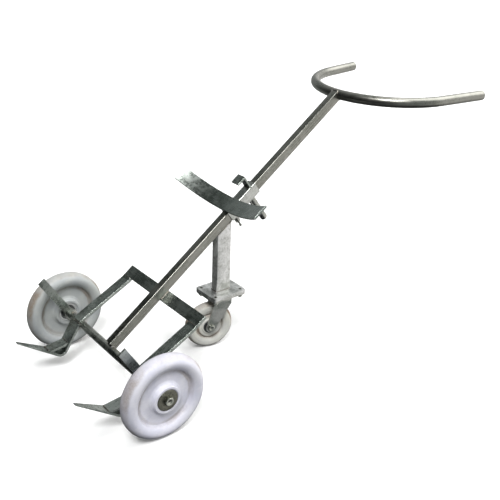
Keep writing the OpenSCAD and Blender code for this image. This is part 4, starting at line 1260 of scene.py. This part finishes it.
def make_room():
    """A white room for the eye, and a soft one for the metal: dark ahead and below, grey beside,
    light behind the operator, with one large bright panel above the handle."""
    studio = bpy.context.scene.dolly_studio
    world = bpy.data.worlds.new("Room")
    bpy.context.scene.world = world
    world.use_nodes = True
    tree = world.node_tree
    tree.nodes.clear()
    way = add(tree, "ShaderNodeTexCoord").outputs["Generated"]
    side = vector_maths(tree, "DOT_PRODUCT", way, BRIGHT_WAY)["Value"]
    tall = add(tree, "ShaderNodeSeparateXYZ", {0: way}).outputs[2]
    colour = (0.020, 0.022, 0.022)
    for start, end, tone in ROOM_STEPS:
        colour = mixed(tree, ranged(tree, side, start, end), colour, tone)
    colour = mixed(tree, ranged(tree, tall, -0.80, -0.50), (0.06, 0.06, 0.065), colour)
    panel = vector_maths(tree, "DOT_PRODUCT", way, PANEL_WAY)["Value"]
    colour = mixed(tree, ranged(tree, panel, 0.80, 0.94), colour, (3.5, 3.5, 3.45))
    light = add(tree, "ShaderNodeBackground", {0: colour, 1: studio.room})
    seen = add(tree, "ShaderNodeBackground", {0: (1.0, 1.0, 1.0, 1.0), 1: 1.0})
    path = add(tree, "ShaderNodeLightPath")
    both = add(tree, "ShaderNodeMixShader", {0: path.outputs["Is Camera Ray"], 1: light.outputs[0],
                                             2: seen.outputs[0]})
    add(tree, "ShaderNodeOutputWorld", {0: both.outputs[0]})


def make_floor():
    """A wide pale disc: rings of points at growing radii, r = reach (k / n)^3, at the floor's height."""
    studio = bpy.context.scene.dolly_studio
    rings, reach = 12, 60.0
    radii = (np.arange(1, rings + 1) / rings) ** 3 * reach
    flat = radii[:, None, None] * circle(1.0, 96)[None]
    points = np.concatenate([flat, np.full((*flat.shape[:2], 1), CAD_BOX[0][2] - 0.2 * MM)], axis=2)
    centre = np.broadcast_to([0.0, 0.0, points[0, 0, 2]], points[:1].shape)
    verts, faces, _ = patch(np.concatenate([centre, points]))
    mesh = bpy.data.meshes.new("floor")
    mesh.from_pydata(verts.tolist(), [], faces.tolist())
    material, tree, shader = blank("floor", 0.0, Roughness=0.85, Emission_Strength=0.10,
                                   Emission_Color=(1.0, 1.0, 1.0, 1.0))
    place_in = add(tree, "ShaderNodeTexCoord").outputs["Object"]
    spots = grouped(tree, mottling(), {"Vector": place_in, "Scale": 3.0})
    colour = tuple(studio.floor)
    base = mixed(tree, times(tree, spots["Cloud"], 0.15), colour, scaled(colour, 0.98))
    tree.links.new(base, shader.inputs["Base Color"])
    mesh.materials.append(material)
    floor = bpy.data.objects.new("floor", mesh)
    bpy.context.scene.collection.objects.link(floor)
    floor.visible_glossy = False
    floor.visible_diffuse = False


def make_lights():
    """A wide sun, from the front and above the right hand."""
    studio = bpy.context.scene.dolly_studio
    sun = bpy.data.lights.new("Key", "SUN")
    sun.energy = studio.key
    sun.angle = studio.key_size
    lamp = bpy.data.objects.new("Key", sun)
    lamp.rotation_euler = Vector(KEY_FROM).to_track_quat("Z", "Y").to_euler()
    bpy.context.scene.collection.objects.link(lamp)


def make_camera():
    """The camera looks from place to aim, both from the floor under the axle's middle, and is
    turned a little about its own line of sight."""
    studio = bpy.context.scene.dolly_studio
    ground = Vector(AXLE * Y)
    place_at = Vector(CAMERA_AT) + ground
    ahead = (Vector(CAMERA_AIM) + ground - place_at).normalized()
    level = ahead.cross(Vector(Z)).normalized()
    down = ahead.cross(level)
    right = level * math.cos(CAMERA_ROLL) + down * math.sin(CAMERA_ROLL)
    up = right.cross(ahead)
    lens = bpy.data.cameras.new("Camera")
    lens.lens = studio.lens
    lens.sensor_width = 36.0
    lens.shift_x, lens.shift_y = CAMERA_SHIFT
    camera = bpy.data.objects.new("Camera", lens)
    camera.matrix_world = Matrix.Translation(place_at) @ Matrix((right, up, -ahead)).transposed().to_4x4()
    bpy.context.scene.collection.objects.link(camera)
    bpy.context.scene.camera = camera
    bpy.context.scene.view_settings.view_transform = "Standard"


# ---- The add-on ----

class DOLLY_OT_spine(bpy.types.Operator):
    """Make the coped spine tube and the upright post"""
    bl_idname = "dolly.spine"
    bl_label = "Spine and Post"

    def execute(self, context):
        make_spine()
        make_post()
        return {"FINISHED"}


class DOLLY_OT_handle(bpy.types.Operator):
    """Make the bowed handle and the domed plugs in its ends"""
    bl_idname = "dolly.handle"
    bl_label = "Handle"

    def execute(self, context):
        make_handle()
        return {"FINISHED"}


class DOLLY_OT_bars(bpy.types.Operator):
    """Round the edges of the flat bars, the toes and the mounting plate"""
    bl_idname = "dolly.bars"
    bl_label = "Flat Bars and Plate"

    def execute(self, context):
        make_bars()
        return {"FINISHED"}


class DOLLY_OT_axle(bpy.types.Operator):
    """Make the axle with its collars, end washers and bolt heads"""
    bl_idname = "dolly.axle"
    bl_label = "Axle"

    def execute(self, context):
        make_axle()
        return {"FINISHED"}


class DOLLY_OT_wheels(bpy.types.Operator):
    """Make the two nylon main wheels and their bearings' shields"""
    bl_idname = "dolly.wheels"
    bl_label = "Main Wheels"

    def execute(self, context):
        make_wheels()
        return {"FINISHED"}


class DOLLY_OT_caster(bpy.types.Operator):
    """Make the swivel caster's wheel, covers, fork, plate and fasteners"""
    bl_idname = "dolly.caster"
    bl_label = "Caster"

    def execute(self, context):
        make_caster()
        return {"FINISHED"}


class DOLLY_OT_carriage(bpy.types.Operator):
    """Make the sliding sleeve with its cradle, hook, grip and clamp screw"""
    bl_idname = "dolly.carriage"
    bl_label = "Carriage"

    def execute(self, context):
        make_carriage()
        return {"FINISHED"}


class DOLLY_OT_welds(bpy.types.Operator):
    """Lay the rippled weld beads on the frame and the carriage"""
    bl_idname = "dolly.welds"
    bl_label = "Weld Beads"

    def execute(self, context):
        make_frame_welds()
        make_carriage_welds()
        return {"FINISHED"}


class DOLLY_OT_finishes(bpy.types.Operator):
    """Give the bearings, balls and other small parts their metal finishes"""
    bl_idname = "dolly.finishes"
    bl_label = "Small Parts' Finishes"

    def execute(self, context):
        finish_rest()
        return {"FINISHED"}


class DOLLY_OT_studio(bpy.types.Operator):
    """Make the room, the floor, the key light and the camera"""
    bl_idname = "dolly.studio"
    bl_label = "Studio"

    def execute(self, context):
        make_room()
        make_floor()
        make_lights()
        make_camera()
        return {"FINISHED"}


OPERATORS = (DOLLY_OT_spine, DOLLY_OT_handle, DOLLY_OT_bars, DOLLY_OT_axle, DOLLY_OT_wheels, DOLLY_OT_caster,
             DOLLY_OT_carriage, DOLLY_OT_welds, DOLLY_OT_finishes, DOLLY_OT_studio)


class DOLLY_PT_panel(bpy.types.Panel):
    """Lists the dolly's settings and its pieces"""
    bl_label = "Drum Dolly"
    bl_space_type = "VIEW_3D"
    bl_region_type = "UI"
    bl_category = "Dolly"

    def draw(self, context):
        for name, group in GROUPS.items():
            box = self.layout.box()
            box.label(text=group.__doc__)
            for key in group.__annotations__:
                box.prop(getattr(context.scene, name), key)
        for kind in OPERATORS:
            self.layout.operator(kind.bl_idname)


CLASSES = (*GROUPS.values(), *OPERATORS, DOLLY_PT_panel)


def register():
    """Registers the classes and puts a settings group of each kind on the scene."""
    for kind in CLASSES:
        bpy.utils.register_class(kind)
    for name, group in GROUPS.items():
        setattr(bpy.types.Scene, name, bpy.props.PointerProperty(type=group))


def unregister():
    """Takes the settings groups and the classes away again."""
    for name in GROUPS:
        delattr(bpy.types.Scene, name)
    for kind in reversed(CLASSES):
        bpy.utils.unregister_class(kind)


def main():
    """Registers the add-on and makes every piece in order."""
    register()
    bpy.ops.dolly.spine()
    bpy.ops.dolly.handle()
    bpy.ops.dolly.bars()
    bpy.ops.dolly.axle()
    bpy.ops.dolly.wheels()
    bpy.ops.dolly.caster()
    bpy.ops.dolly.carriage()
    bpy.ops.dolly.welds()
    bpy.ops.dolly.finishes()
    bpy.ops.dolly.studio()


if __name__ == "__main__":
    main()
